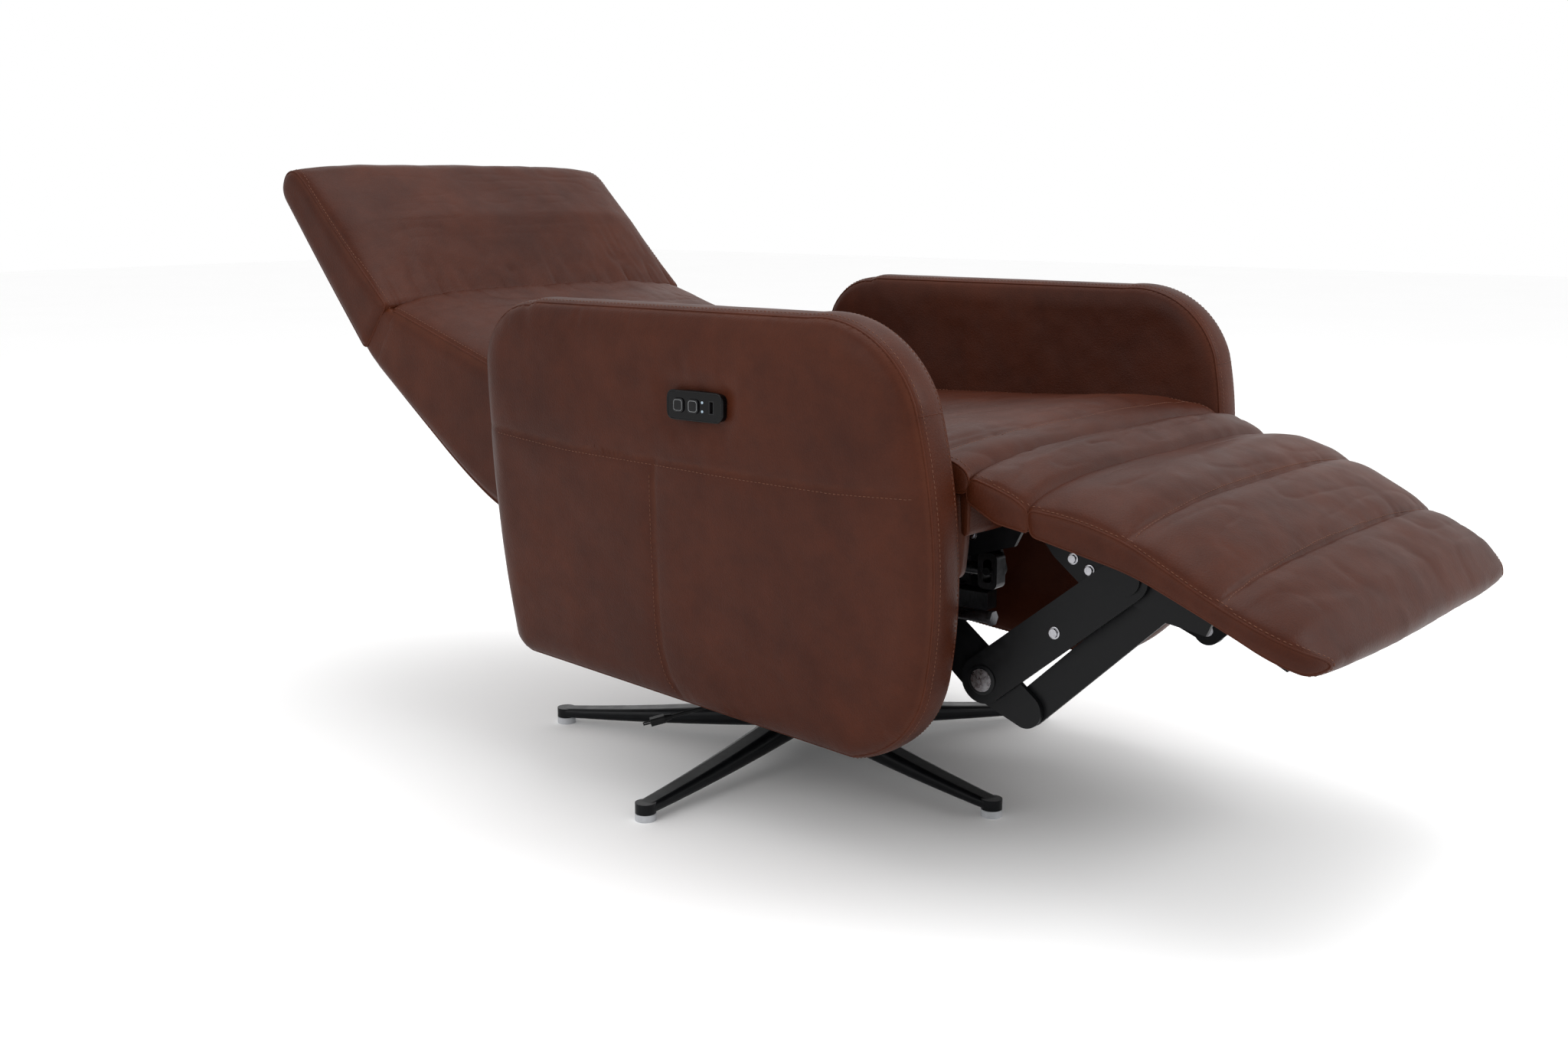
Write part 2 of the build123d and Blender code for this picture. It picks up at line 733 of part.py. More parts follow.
# ---------------------------------------------------------------- back
back_front_face = [(96, 461), (494, 596)]
back_split = [(511, 540), (112, 405)]
with BuildPart() as back_cushion:
    with BuildSketch(side(-back_half)):
        with BuildLine():
            Polyline(*back_front_face, *back_split, close=True)
        make_face()
    extrude(amount=2 * back_half)
    fillet(back_cushion.edges().filter_by(Axis.X).group_by(Axis.Z)[-1], 6)
    for sign in (-1, 1):
        with BuildSketch(side(sign * 148)):
            add(strap((head_hinge_axis, (425, 505)), (14, 14)))
        extrude(amount=sign * 18, mode=Mode.SUBTRACT)
back_cushion.part.label = "back_cushion"
export_step(back_cushion.part, "parts/back_cushion.step")

with BuildPart() as back_shell:
    with BuildSketch(side(-back_half)):
        with BuildLine():
            Polyline((112, 405), (128, 350), (190, 318), (279, 343), (434, 451), (516, 516), (511, 540), close=True)
        make_face()
    extrude(amount=2 * back_half)
    with BuildSketch(side(14 - back_half)):
        with BuildLine():
            Polyline((127, 411), (141, 360), (192, 334), (272, 357), (425, 462), (499, 522), (494, 536),
                     (300, 485), close=True)
        make_face()
    extrude(amount=2 * (back_half - 14), mode=Mode.SUBTRACT)
    for sign in (-1, 1):
        with BuildSketch(side(sign * 258)):
            add(strap(((92, 390), (140, 386)), (13, 16)))
        extrude(amount=sign * 14, mode=Mode.SUBTRACT)
back_shell.part.label = "back_shell"
export_step(back_shell.part, "parts/back_shell.step")

with BuildPart() as back_frame:
    for x in (-262, 240):
        with BuildSketch(side(x)):
            with BuildLine():
                Polyline((138, 411), (470, 523), (420, 474), (268, 368), (195, 345), (152, 366), close=True)
            make_face()
        extrude(amount=22)
    with BuildSketch(side(-240)):
        with Locations((200, 386)):
            Rectangle(22, 70)
        with Locations((405, 482)):
            Rectangle(22, 30)
    extrude(amount=480)
back_frame.part.label = "back_frame"
export_step(back_frame.part, "parts/back_frame.step")

with BuildPart() as back_hinge:
    with BuildSketch(side(262)):
        add(strap((back_hinge_axis, (92, 392)), (11, 10)))
        add(strap(((92, 392), (172, 384)), (10, 14)))
        with Locations(back_hinge_axis):
            Circle(6 + running_gap, mode=Mode.SUBTRACT)
    extrude(amount=5)

with BuildPart() as back_hinge_bracket:
    with BuildSketch(side(268)):
        add(strap((back_hinge_axis, (38, 404), (10, 404)), (11, 16, 16)))
    extrude(amount=4)
    with BuildSketch(side(260)):
        with Locations(back_hinge_axis):
            Circle(6)
    extrude(amount=8)

with BuildPart() as head_hinge_leaf:
    with BuildSketch(side(157)):
        add(strap((head_hinge_axis, (425, 505)), (11, 11)))
    extrude(amount=5)
    with BuildSketch(side(149)):
        with Locations(head_hinge_axis):
            Circle(5)
    extrude(amount=8)

# ---------------------------------------------------------------- headrest
with BuildPart() as headrest_frame:
    with BuildSketch(side(-262)):
        with BuildLine():
            Polyline((574, 606), (583, 599), (683, 720), (674, 727), close=True)
        make_face()
    extrude(amount=524)
headrest_frame.part.label = "headrest_frame"
export_step(headrest_frame.part, "parts/headrest_frame.step")

with BuildPart() as head_hinge:
    with BuildSketch(side(150)):
        add(strap((head_hinge_axis, (572, 616)), (11, 10)))
        with Locations(head_hinge_axis):
            Circle(5 + running_gap, mode=Mode.SUBTRACT)
    extrude(amount=6)
    add(headrest_frame.part, mode=Mode.SUBTRACT)

with BuildPart() as headrest_pad:
    with BuildSketch(side(-head_half)):
        with BuildLine():
            Polyline((507, 604), (600, 698), (668, 771), (688, 780), (704, 772), (716, 750), (628, 641), (547, 543),
                     close=True)
        make_face()
    extrude(amount=2 * head_half)
    fillet(headrest_pad.faces().sort_by(Axis.X)[0].edges() + headrest_pad.faces().sort_by(Axis.X)[-1].edges(), 8)
    add(headrest_frame.part, mode=Mode.SUBTRACT)
    for sign in (-1, 1):
        with BuildSketch(side(sign * 148)):
            add(strap((head_hinge_axis, (572, 616)), (14, 12)))
        extrude(amount=sign * 18, mode=Mode.SUBTRACT)
headrest_pad.part.label = "headrest_pad"
export_step(headrest_pad.part, "parts/headrest_pad.step")

# ---------------------------------------------------------------- left and right pieces
separate_pairs = {
    "arm_frame": arm_frame, "arm_band": arm_band, "arm_outer_panel": arm_outer_panel,
    "arm_inner_panel": arm_inner_panel, "seat_side": seat_side, "long_link": long_link,
    "idler_link": idler_link,
}
for name, left in separate_pairs.items():
    left.part.label = f"{name}_left"
    export_step(left.part, f"parts/{name}_left.step")
    with BuildPart() as right:
        mirror(left.part, about=Plane.YZ)
        if name == "arm_outer_panel":
            with BuildSketch(side(-panel_face - 5)):
                add(lozenge())
            extrude(amount=40, mode=Mode.SUBTRACT)
    right.part.label = f"{name}_right"
    export_step(right.part, f"parts/{name}_right.step")

shared_pairs = {
    "guide_rails": guide_rail, "arm_brackets": arm_bracket, "mechanism_plates": mechanism_plate,
    "slide_runners": slide_runner, "knee_pins": knee_pin, "stabiliser_rods": stabiliser_rod,
    "drive_links": drive_link, "link_pins": link_pin, "footrest_brackets": footrest_bracket,
    "back_hinges": back_hinge, "back_hinge_brackets": back_hinge_bracket,
    "head_hinge_leaves": head_hinge_leaf, "head_hinges": head_hinge,
}
for name, left in shared_pairs.items():
    with BuildPart() as both:
        add(left.part)
        mirror(left.part, about=Plane.YZ)
    both.part.label = name
    export_step(both.part, f"parts/{name}.step")
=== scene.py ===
"""Power recliner armchair in brown leather, reclined with the footrest out."""
from math import cos, pi, radians, sin

import bmesh
import bpy
import numpy as np
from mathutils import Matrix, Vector
from mathutils.bvhtree import BVHTree


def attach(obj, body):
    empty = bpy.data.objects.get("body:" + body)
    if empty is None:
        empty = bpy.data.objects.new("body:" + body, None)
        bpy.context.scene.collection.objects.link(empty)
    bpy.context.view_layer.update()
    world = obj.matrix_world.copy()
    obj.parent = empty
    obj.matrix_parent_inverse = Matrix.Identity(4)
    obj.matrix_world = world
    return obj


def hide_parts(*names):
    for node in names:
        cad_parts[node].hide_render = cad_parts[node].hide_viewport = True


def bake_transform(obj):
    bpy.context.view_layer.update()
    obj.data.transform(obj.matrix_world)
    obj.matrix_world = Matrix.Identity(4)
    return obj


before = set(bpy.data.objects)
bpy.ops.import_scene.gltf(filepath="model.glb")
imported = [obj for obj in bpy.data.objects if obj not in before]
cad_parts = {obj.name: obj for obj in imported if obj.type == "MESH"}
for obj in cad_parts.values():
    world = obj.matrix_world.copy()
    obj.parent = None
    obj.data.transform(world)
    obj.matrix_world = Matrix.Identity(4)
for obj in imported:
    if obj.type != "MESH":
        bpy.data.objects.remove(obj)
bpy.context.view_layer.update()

MM = 0.001
AXIS_Y = 58.0          # swivel axis behind the origin, millimetres
scene = bpy.context.scene


def place(x, y, z):
    """Row-frame point in metres from millimetres, with y from the swivel axis."""
    return (x * MM, (y + AXIS_Y) * MM, z * MM)


# ---------------------------------------------------------------- camera
IMAGE_WIDTH, FOCAL_PIXELS = 2048, 2294.9
VIEW_AZIMUTH, VIEW_PITCH = radians(51.34), radians(10.85)
camera_data = bpy.data.cameras.new("camera")
camera_data.sensor_width = 36.0
camera_data.lens = 36.0 * FOCAL_PIXELS / IMAGE_WIDTH
camera_data.clip_start, camera_data.clip_end = 0.05, 60
camera = bpy.data.objects.new("camera", camera_data)
look = Vector((sin(VIEW_AZIMUTH) * cos(VIEW_PITCH), cos(VIEW_AZIMUTH) * cos(VIEW_PITCH), -sin(VIEW_PITCH)))
camera.location = (-1.843, -1.374, 0.759)
camera.rotation_mode = "QUATERNION"
camera.rotation_quaternion = look.to_track_quat("-Z", "Y")
scene.collection.objects.link(camera)
scene.camera = camera


# ---------------------------------------------------------------- materials
def new_material(name):
    material = bpy.data.materials.new(name)
    material.use_nodes = True
    nodes, links = material.node_tree.nodes, material.node_tree.links
    return material, nodes, links, nodes["Principled BSDF"]


def add_noise(nodes, links, coords, scale, detail=4.0, rough=0.55, stretch=None):
    node = nodes.new("ShaderNodeTexNoise")
    node.inputs["Scale"].default_value = scale
    node.inputs["Detail"].default_value = detail
    node.inputs["Roughness"].default_value = rough
    source = coords.outputs["Object"]
    if stretch:
        mapping = nodes.new("ShaderNodeMapping")
        mapping.inputs["Scale"].default_value = stretch
        links.new(source, mapping.inputs["Vector"])
        source = mapping.outputs["Vector"]
    links.new(source, node.inputs["Vector"])
    return node


def add_ramp(nodes, links, source, stops):
    ramp = nodes.new("ShaderNodeValToRGB")
    links.new(source, ramp.inputs["Fac"])
    while len(ramp.color_ramp.elements) < len(stops):
        ramp.color_ramp.elements.new(0.5)
    for element, (at, colour) in zip(ramp.color_ramp.elements, stops):
        element.position = at
        element.color = (*colour, 1) if len(colour) == 3 else (colour[0],) * 3 + (1,)
    return ramp


def add_mix(nodes, links, factor, a, b, kind="MIX", amount=None):
    mix = nodes.new("ShaderNodeMix")
    mix.data_type, mix.blend_type = "RGBA", kind
    if amount is not None:
        mix.inputs[0].default_value = amount
    else:
        links.new(factor, mix.inputs[0])
    for socket, value in ((mix.inputs[6], a), (mix.inputs[7], b)):
        if hasattr(value, "is_linked"):
            links.new(value, socket)
        else:
            socket.default_value = (*value, 1)
    return mix.outputs[2]


def add_bump(nodes, links, height, strength, distance, below=None):
    bump = nodes.new("ShaderNodeBump")
    bump.inputs["Strength"].default_value = strength
    bump.inputs["Distance"].default_value = distance
    links.new(height, bump.inputs["Height"])
    if below is not None:
        links.new(below, bump.inputs["Normal"])
    return bump.outputs["Normal"]


PORE_SCALE = 520            # pores across one metre
SMOOTHEST, ROUGHEST = 0.40, 0.52


def leather_material(name, dark, middle, light, seam_wear_highlight_colour, grain=1.0):
    """Leather in three tones, with pores, creases and a lighter colour along the seams that is partly wear
    and partly a painted highlight of the welt edges.
    """
    material, nodes, links, shader = new_material(name)
    coords = nodes.new("ShaderNodeTexCoord")
    clouds = add_noise(nodes, links, coords, 4.2, 5, 0.6)
    tone = add_ramp(nodes, links, clouds.outputs["Fac"], [(0.32, dark), (0.52, middle), (0.72, light)])
    mottle = add_noise(nodes, links, coords, 26, 7, 0.68)
    blotch = add_ramp(nodes, links, mottle.outputs["Fac"],
                      [(0.34, (0.80, 0.77, 0.75)), (0.55, (1, 1, 1)), (0.75, (1.16, 1.12, 1.10))])
    colour = add_mix(nodes, links, None, tone.outputs["Color"], blotch.outputs["Color"], "MULTIPLY", 0.8)
    pores = nodes.new("ShaderNodeTexVoronoi")
    pores.inputs["Scale"].default_value = PORE_SCALE
    links.new(coords.outputs["Object"], pores.inputs["Vector"])
    pore_tone = add_ramp(nodes, links, pores.outputs["Distance"],
                         [(0.0, (0.8, 0.78, 0.76)), (0.5, (1, 1, 1)), (1, (1.05, 1.04, 1.03))])
    colour = add_mix(nodes, links, None, colour, pore_tone.outputs["Color"], "MULTIPLY", 0.6)
    # lighter colour along the seams, broken by noise: partly wear, partly painted highlight on the welt edges
    seam = nodes.new("ShaderNodeAttribute")
    seam.attribute_name = "seam"
    broken = add_noise(nodes, links, coords, 60, 4, 0.6)
    seam_wear_highlight_mask = nodes.new("ShaderNodeMath")
    seam_wear_highlight_mask.operation = "MULTIPLY"
    links.new(seam.outputs["Fac"], seam_wear_highlight_mask.inputs[0])
    links.new(broken.outputs["Fac"], seam_wear_highlight_mask.inputs[1])
    colour = add_mix(nodes, links, seam_wear_highlight_mask.outputs[0], colour, seam_wear_highlight_colour)
    links.new(colour, shader.inputs["Base Color"])
    sheen_map = add_noise(nodes, links, coords, 9, 6, 0.65)
    rough = add_ramp(nodes, links, sheen_map.outputs["Fac"], [(0.3, (SMOOTHEST,)), (0.7, (ROUGHEST,))])
    links.new(rough.outputs["Color"], shader.inputs["Roughness"])
    shader.inputs["Coat Weight"].default_value = 0.03
    shader.inputs["Coat Roughness"].default_value = 0.34
    shader.inputs["Specular IOR Level"].default_value = 0.11
    folds = add_noise(nodes, links, coords, 34, 5, 0.6)
    wave = add_bump(nodes, links, folds.outputs["Fac"], 0.10 * grain, 0.003)
    creases = add_noise(nodes, links, coords, 240, 3, 0.7, (1, 1.6, 1))
    fine = add_bump(nodes, links, creases.outputs["Fac"], 0.25 * grain, 0.0008, wave)
    pebble = add_bump(nodes, links, pores.outputs["Distance"], 0.3 * grain, 0.0006, fine)
    links.new(pebble, shader.inputs["Normal"])
    return material


def hard_material(name, colour, metallic, rough_low, rough_high, scale=60, bump=0.05, coat=0.0, stretch=None,
                  spread=0.25, shine=0.5):
    """Metal, plastic, board or thread, with smudges in its colour and roughness."""
    material, nodes, links, shader = new_material(name)
    coords = nodes.new("ShaderNodeTexCoord")
    smudge = add_noise(nodes, links, coords, scale, 6, 0.6, stretch)
    low = tuple(c * (1 - spread) for c in colour)
    high = tuple(min(1, c * (1 + spread)) for c in colour)
    tone = add_ramp(nodes, links, smudge.outputs["Fac"], [(0.3, low), (0.7, high)])
    links.new(tone.outputs["Color"], shader.inputs["Base Color"])
    rough = add_ramp(nodes, links, smudge.outputs["Fac"], [(0.3, (rough_low,)), (0.7, (rough_high,))])
    links.new(rough.outputs["Color"], shader.inputs["Roughness"])
    fine = add_noise(nodes, links, coords, scale * 12, 3, 0.6, stretch)
    links.new(add_bump(nodes, links, fine.outputs["Fac"], bump, 0.0006), shader.inputs["Normal"])
    shader.inputs["Metallic"].default_value = metallic
    shader.inputs["Specular IOR Level"].default_value = shine
    shader.inputs["Coat Weight"].default_value = coat
    shader.inputs["Coat Roughness"].default_value = 0.08
    return material


# the fourth colour of each leather is the lighter seam colour: partly wear, partly painted highlight
leather = leather_material("leather_brown", (0.036, 0.0078, 0.0030), (0.046, 0.0102, 0.0038),
                           (0.058, 0.0134, 0.0050), (0.085, 0.023, 0.009))
# lighter copy of the leather for the welts: painted highlight on the raised seam edges
leather_edge = leather_material("leather_edge", (0.042, 0.0095, 0.0036), (0.056, 0.0130, 0.0050),
                                (0.072, 0.0175, 0.0068), (0.095, 0.027, 0.011), 0.6)
thread = hard_material("thread_tan", (0.110, 0.034, 0.013), 0.0, 0.6, 0.8, 400, 0.3, spread=0.4)
# plywood colour kept dark as painted shade under the seat's front edge
shaded_wood_look = hard_material("plywood_shaded", (0.045, 0.030, 0.020), 0.0, 0.5, 0.7, 18, 0.3, stretch=(1, 8, 8))
base_look = hard_material("base_satin_black", (0.0045, 0.0050, 0.0060), 0.2, 0.30, 0.44, 45, 0.08, 0.03,
                          shine=0.16)
frame_look = hard_material("frame_black", (0.0045, 0.0045, 0.0052), 0.1, 0.36, 0.52, 50, 0.10, shine=0.14)
link_look = hard_material("link_satin_black", (0.0042, 0.0044, 0.0050), 0.1, 0.33, 0.50, 70, 0.10, shine=0.16)
steel_look = hard_material("zinc_steel", (0.045, 0.045, 0.048), 1.0, 0.28, 0.42, 120, 0.06, stretch=(1, 6, 1))
rod_look = hard_material("dark_rod", (0.085, 0.085, 0.092), 1.0, 0.25, 0.38, 120, 0.05, stretch=(6, 1, 1))
bolt_look = hard_material("bolt_zinc", (0.34, 0.34, 0.36), 1.0, 0.22, 0.34, 160, 0.06)
bearing_look = hard_material("acetal_white", (0.70, 0.70, 0.67), 0.0, 0.4, 0.5, 60, 0.04, spread=0.05)
glide_look = hard_material("glide_grey", (0.40, 0.41, 0.43), 0.0, 0.45, 0.6, 90, 0.08, spread=0.12)
board_look = hard_material("black_board", (0.006, 0.006, 0.0065), 0.0, 0.55, 0.72, 80, 0.25, shine=0.15)
gloss_look = hard_material("piano_black", (0.0020, 0.0020, 0.0023), 0.0, 0.12, 0.20, 30, 0.01, 0.02,
                           shine=0.16)
button_look = hard_material("button_black", (0.0035, 0.0035, 0.0040), 0.0, 0.18, 0.28, 40, 0.02, 0.02,
                            shine=0.18)
ring_look = hard_material("button_ring", (0.16, 0.165, 0.17), 0.6, 0.25, 0.35, 60, 0.02)
socket_look = hard_material("socket_dark", (0.010, 0.010, 0.011), 0.0, 0.3, 0.45, 60, 0.03, shine=0.2)
lead_look = hard_material("lead_black", (0.006, 0.006, 0.0065), 0.0, 0.42, 0.56, 120, 0.10, shine=0.2)
motor_look = hard_material("motor_grey", (0.045, 0.045, 0.05), 0.3, 0.4, 0.6, 50, 0.2)
light_look, light_nodes, light_links, light_shader = new_material("indicator_light")
light_coords = light_nodes.new("ShaderNodeTexCoord")
light_noise = add_noise(light_nodes, light_links, light_coords, 300, 2)
glow = add_ramp(light_nodes, light_links, light_noise.outputs["Fac"],
                [(0.3, (0.20, 0.28, 0.34)), (0.7, (0.30, 0.38, 0.44))])
light_links.new(glow.outputs["Color"], light_shader.inputs["Base Color"])
light_shader.inputs["Roughness"].default_value = 0.3
light_shader.inputs["Emission Color"].default_value = (0.6, 0.8, 1.0, 1)
light_shader.inputs["Emission Strength"].default_value = 0.06

looks = {"leather": leather, "wood": shaded_wood_look, "base_metal": base_look, "frame_metal": frame_look,
         "link_metal": link_look, "bare_steel": steel_look, "rod_steel": rod_look, "bolt": bolt_look,
         "bearing": bearing_look, "glide": glide_look, "board": board_look, "gloss_black": gloss_look,
         "button": button_look, "light": light_look, "socket": socket_look, "lead": lead_look,
         "lead_fitting": lead_look, "motor": motor_look}
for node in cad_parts.values():
    for material_slot in node.material_slots:
        old = material_slot.material.name.split(".")[0] if material_slot.material else ""
        if old in looks:
            material_slot.link = "DATA"
            material_slot.material = looks[old]


# ---------------------------------------------------------------- mesh helpers
def finish_mesh(name, verts, faces, material, merge=True, crease_deg=None):
    mesh = bpy.data.meshes.new(name)
    mesh.from_pydata([tuple(v) for v in verts], [], [tuple(int(i) for i in f) for f in faces])
    if merge:
        work = bmesh.new()
        work.from_mesh(mesh)
        bmesh.ops.remove_doubles(work, verts=work.verts, dist=2e-5)
        bmesh.ops.dissolve_degenerate(work, dist=1e-6, edges=work.edges)
        bmesh.ops.recalc_face_normals(work, faces=work.faces)
        work.to_mesh(mesh)
        work.free()
    mesh.polygons.foreach_set("use_smooth", [True] * len(mesh.polygons))
    mesh.materials.append(material)
    if crease_deg is not None:
        mesh.set_sharp_from_angle(angle=radians(crease_deg))
    obj = bpy.data.objects.new(name, mesh)
    scene.collection.objects.link(obj)
    return obj


def grid_faces(rows, columns, wrap=False, start=0):
    r = np.arange(rows - 1)[:, None]
    c = np.arange(columns if wrap else columns - 1)[None, :]
    n = (c + 1) % columns
    a, b = r * columns + c, r * columns + n
    return (np.stack([a, b, b + columns, a + columns], -1) + start).reshape(-1, 4)


def rounded(corners):
    """Closed outline with each corner (y, z, size) eased by a curve of that size."""
    points, count = [], len(corners)
    place_of = np.array([c[:2] for c in corners], float)
    for i, corner in enumerate(corners):
        here, before, after = place_of[i], place_of[i - 1], place_of[(i + 1) % count]
        size = corner[2]
        into, away = before - here, after - here
        length_in, length_out = np.linalg.norm(into), np.linalg.norm(away)
        a = here + into / length_in * min(size, 0.49 * length_in)
        b = here + away / length_out * min(size, 0.49 * length_out)
        for t in np.linspace(0, 1, 9):
            points.append((1 - t) ** 2 * a + 2 * t * (1 - t) * here + t * t * b)
    return np.array(points)


def resample(points, count, closed=True):
    p = np.vstack([points, points[:1]]) if closed else np.asarray(points, float)
    lengths = np.r_[0, np.cumsum(np.linalg.norm(np.diff(p, axis=0), axis=1))]
    at = np.linspace(0, lengths[-1], count + 1)[:-1] if closed else np.linspace(0, lengths[-1], count)
    return np.stack([np.interp(at, lengths, p[:, k]) for k in range(p.shape[1])], 1)


def arc3(a, b, c, count=24):
    a, b, c = (np.array(p, float) for p in (a, b, c))
    matrix = 2 * np.array([b - a, c - a])
    centre = np.linalg.solve(matrix, np.array([b @ b - a @ a, c @ c - a @ a]))
    r = np.linalg.norm(a - centre)
    turn = np.unwrap([np.arctan2(*(p - centre)[::-1]) for p in (a, b, c)])
    s = np.linspace(turn[0], turn[2], count)
    return centre + r * np.stack([np.cos(s), np.sin(s)], 1)


def distance_to(points, line, closed=False):
    """Distance of each 2-D point from a polyline."""
    p = np.vstack([line, line[:1]]) if closed else np.asarray(line, float)
    a, d = p[:-1], np.diff(p, axis=0)
    square = np.maximum((d ** 2).sum(1), 1e-12)
    out = np.full(len(points), 1e9)
    for start in range(0, len(points), 4000):
        q = points[start:start + 4000, None, :] - a[None]
        t = np.clip((q * d[None]).sum(2) / square[None], 0, 1)
        out[start:start + 4000] = np.sqrt(((q - t[..., None] * d[None]) ** 2).sum(2).min(1))
    return out


LATTICE = 32                # cells of random values on each side, repeated
lattice = np.random.RandomState(11).rand(LATTICE, LATTICE, LATTICE)


def noise(x, y, z):
    """Smooth value noise from -1 to 1."""
    p = np.stack(np.broadcast_arrays(x, y, z), -1).astype(float)
    base = np.floor(p).astype(int)
    f = p - base
    f = f * f * (3 - 2 * f)
    total = 0
    for i in (0, 1):
        for j in (0, 1):
            for k in (0, 1):
                w = ((f[..., 0] if i else 1 - f[..., 0]) * (f[..., 1] if j else 1 - f[..., 1])
                     * (f[..., 2] if k else 1 - f[..., 2]))
                total = total + w * lattice[(base[..., 0] + i) % LATTICE, (base[..., 1] + j) % LATTICE,
                                            (base[..., 2] + k) % LATTICE]
    return total * 2 - 1


def softness(x, y, z, amount=1.0):
    """Slight unevenness of leather over foam, millimetres."""
    return amount * (1.3 * noise(x / 95, y / 95, z / 95) + 0.7 * noise(x / 38 + 7, y / 38, z / 38)
                     + 0.3 * noise(x / 15, y / 15 + 3, z / 15))


def outward(loop):
    """Outward normals of a closed 2-D outline, smoothed a little."""
    tangent = np.roll(loop, -2, 0) - np.roll(loop, 2, 0)
    normal = np.stack([tangent[:, 1], -tangent[:, 0]], 1)
    area = 0.5 * np.sum(loop[:, 0] * np.roll(loop[:, 1], -1) - np.roll(loop[:, 0], -1) * loop[:, 1])
    normal *= np.sign(area)
    for _ in range(3):
        normal = (np.roll(normal, 1, 0) + 2 * normal + np.roll(normal, -1, 0)) / 4
    return normal / np.linalg.norm(normal, axis=1)[:, None]


def mark_seam(obj, lines, reach=7.0):
    """Vertex attribute that is 1 on the seams and fades out beside them. Lines are in metres."""
    co = np.empty(len(obj.data.vertices) * 3)
    obj.data.vertices.foreach_get("co", co)
    co = co.reshape(-1, 3)
    nearest = np.full(len(co), 1e9)
    for line in lines:
        for start in range(0, len(co), 3000):
            d = np.sqrt(((co[start:start + 3000, None] - line[None]) ** 2).sum(2).min(1))
            nearest[start:start + 3000] = np.minimum(nearest[start:start + 3000], d)
    value = 0.75 * np.exp(-(nearest / (reach * MM)) ** 2)
    attribute = obj.data.attributes.new("seam", "FLOAT", "POINT")
    attribute.data.foreach_set("value", value.astype(np.float32))


def stitches(name, line, surface, pitch=5.6, length=3.7, radius=0.42, lift=0.1):
    """A row of thread stitches along a line in metres, laid on the surface object."""
    tree = BVHTree.FromObject(surface, bpy.context.evaluated_depsgraph_get())
    count = max(3, int(np.linalg.norm(np.diff(line, axis=0), axis=1).sum() / (pitch * MM)))
    points = resample(line, count, closed=False)
    verts, faces = [], []
    sides = 5
    for a, b in zip(points[:-1], points[1:]):
        middle, normal, _index, _far = tree.find_nearest(Vector((a + b) / 2))
        if middle is None:
            continue
        along = Vector(b - a)
        along = (along - normal * along.dot(normal))
        if along.length < 1e-7:
            continue
        along.normalize()
        across = along.cross(normal)
        centre = middle + normal * lift * MM
        start = len(verts)
        for shift, size, rise in ((-0.5, 0.25, -0.4), (-0.3, 1, 0.15), (0.3, 1, 0.15), (0.5, 0.25, -0.4)):
            for k in range(sides):
                turn = 2 * pi * k / sides
                verts.append(centre + along * shift * length * MM + normal * rise * radius * MM
                             + (across * cos(turn) + normal * sin(turn)) * radius * size * MM)
        for ring in range(3):
            for k in range(sides):
                n = (k + 1) % sides
                a0 = start + ring * sides
                faces.append((a0 + k, a0 + n, a0 + sides + n, a0 + sides + k))
    return finish_mesh(name, verts, faces, thread, merge=False)


def welt(name, line, radius=1.5, material=None, closed=True):
    """A thin raised seam edge along a line in metres."""
    count = len(line)
    tangent = (np.roll(line, -1, 0) - np.roll(line, 1, 0)) if closed else np.gradient(line, axis=0)
    tangent /= np.maximum(np.linalg.norm(tangent, axis=1), 1e-9)[:, None]
    up = np.tile([1.0, 0.02, 0.03], (count, 1))
    side = np.cross(tangent, up)
    bad = np.linalg.norm(side, axis=1) < 0.1
    side[bad] = np.cross(tangent[bad], [0.0, 0.3, 1.0])
    side /= np.linalg.norm(side, axis=1)[:, None]
    other = np.cross(tangent, side)
    ring = 8
    verts = []
    for k in range(ring):
        turn = 2 * pi * k / ring
        verts.append(line + (side * cos(turn) + other * sin(turn)) * radius * MM)
    verts = np.array(verts).reshape(-1, 3)
    faces = grid_faces(ring, count, wrap=closed)
    last = np.array([[(ring - 1) * count + i, (ring - 1) * count + (i + 1) % count, (i + 1) % count, i]
                     for i in range(count if closed else count - 1)])
    return finish_mesh(name, verts, np.vstack([faces, last]), material or leather_edge, merge=False)


# ---------------------------------------------------------------- arms
ARM_TOP, ARM_HALF, ARM_BEND, ARM_CORE = 623.0, 373.0, 1850.0, 45.0
OUTER_PUFF, INNER_PUFF = 15, 9          # rise of the two faces over their seams
BAND_BULGE, STITCH_INSET = 5.5, 6.0
ARM_CENTRE = (-105.0, 380.0)
LOOP_COUNT = 560


def arm_face(z, out):
    """Half width of the arm's bent surface, out millimetres outside the outer seam."""
    return ARM_HALF - ARM_BEND + np.sqrt((ARM_BEND + out) ** 2 - (ARM_TOP - z) ** 2)


arm_line = np.vstack([
    arc3((-290, 622), (-386, 594), (-425, 538), 30), arc3((-425, 538), (-442, 391), (-416, 230), 30),
    arc3((-416, 230), (-376, 165), (-300, 123), 24), arc3((200, 165), (219, 172), (226, 192), 8),
    arc3((213, 545), (190, 597), (135, 618), 12), arc3((135, 618), (128, 621), (120, 622), 4)])
arm_loop = resample(arm_line, LOOP_COUNT)
arm_normals = outward(arm_loop)
LEVEL_SEAM_POINTS = [(216, 467.5), (201, 466), (72, 454), (-71, 450), (-197, 446), (-326, 444), (-438, 449)]
UPRIGHT_SEAM_POINTS = [(-68, 448), (-62, 380), (-55, 312), (-46, 245), (-43, 215), (-46, 180), (-60, 144)]
level_seam = resample(np.array(LEVEL_SEAM_POINTS), 120, False)
upright_seam = resample(np.array(UPRIGHT_SEAM_POINTS), 80, False)
panel_outline = resample(rounded([(-182, 500.5, 9), (-98, 500.5, 9), (-98, 535.5, 9), (-182, 535.5, 9)]), 60)


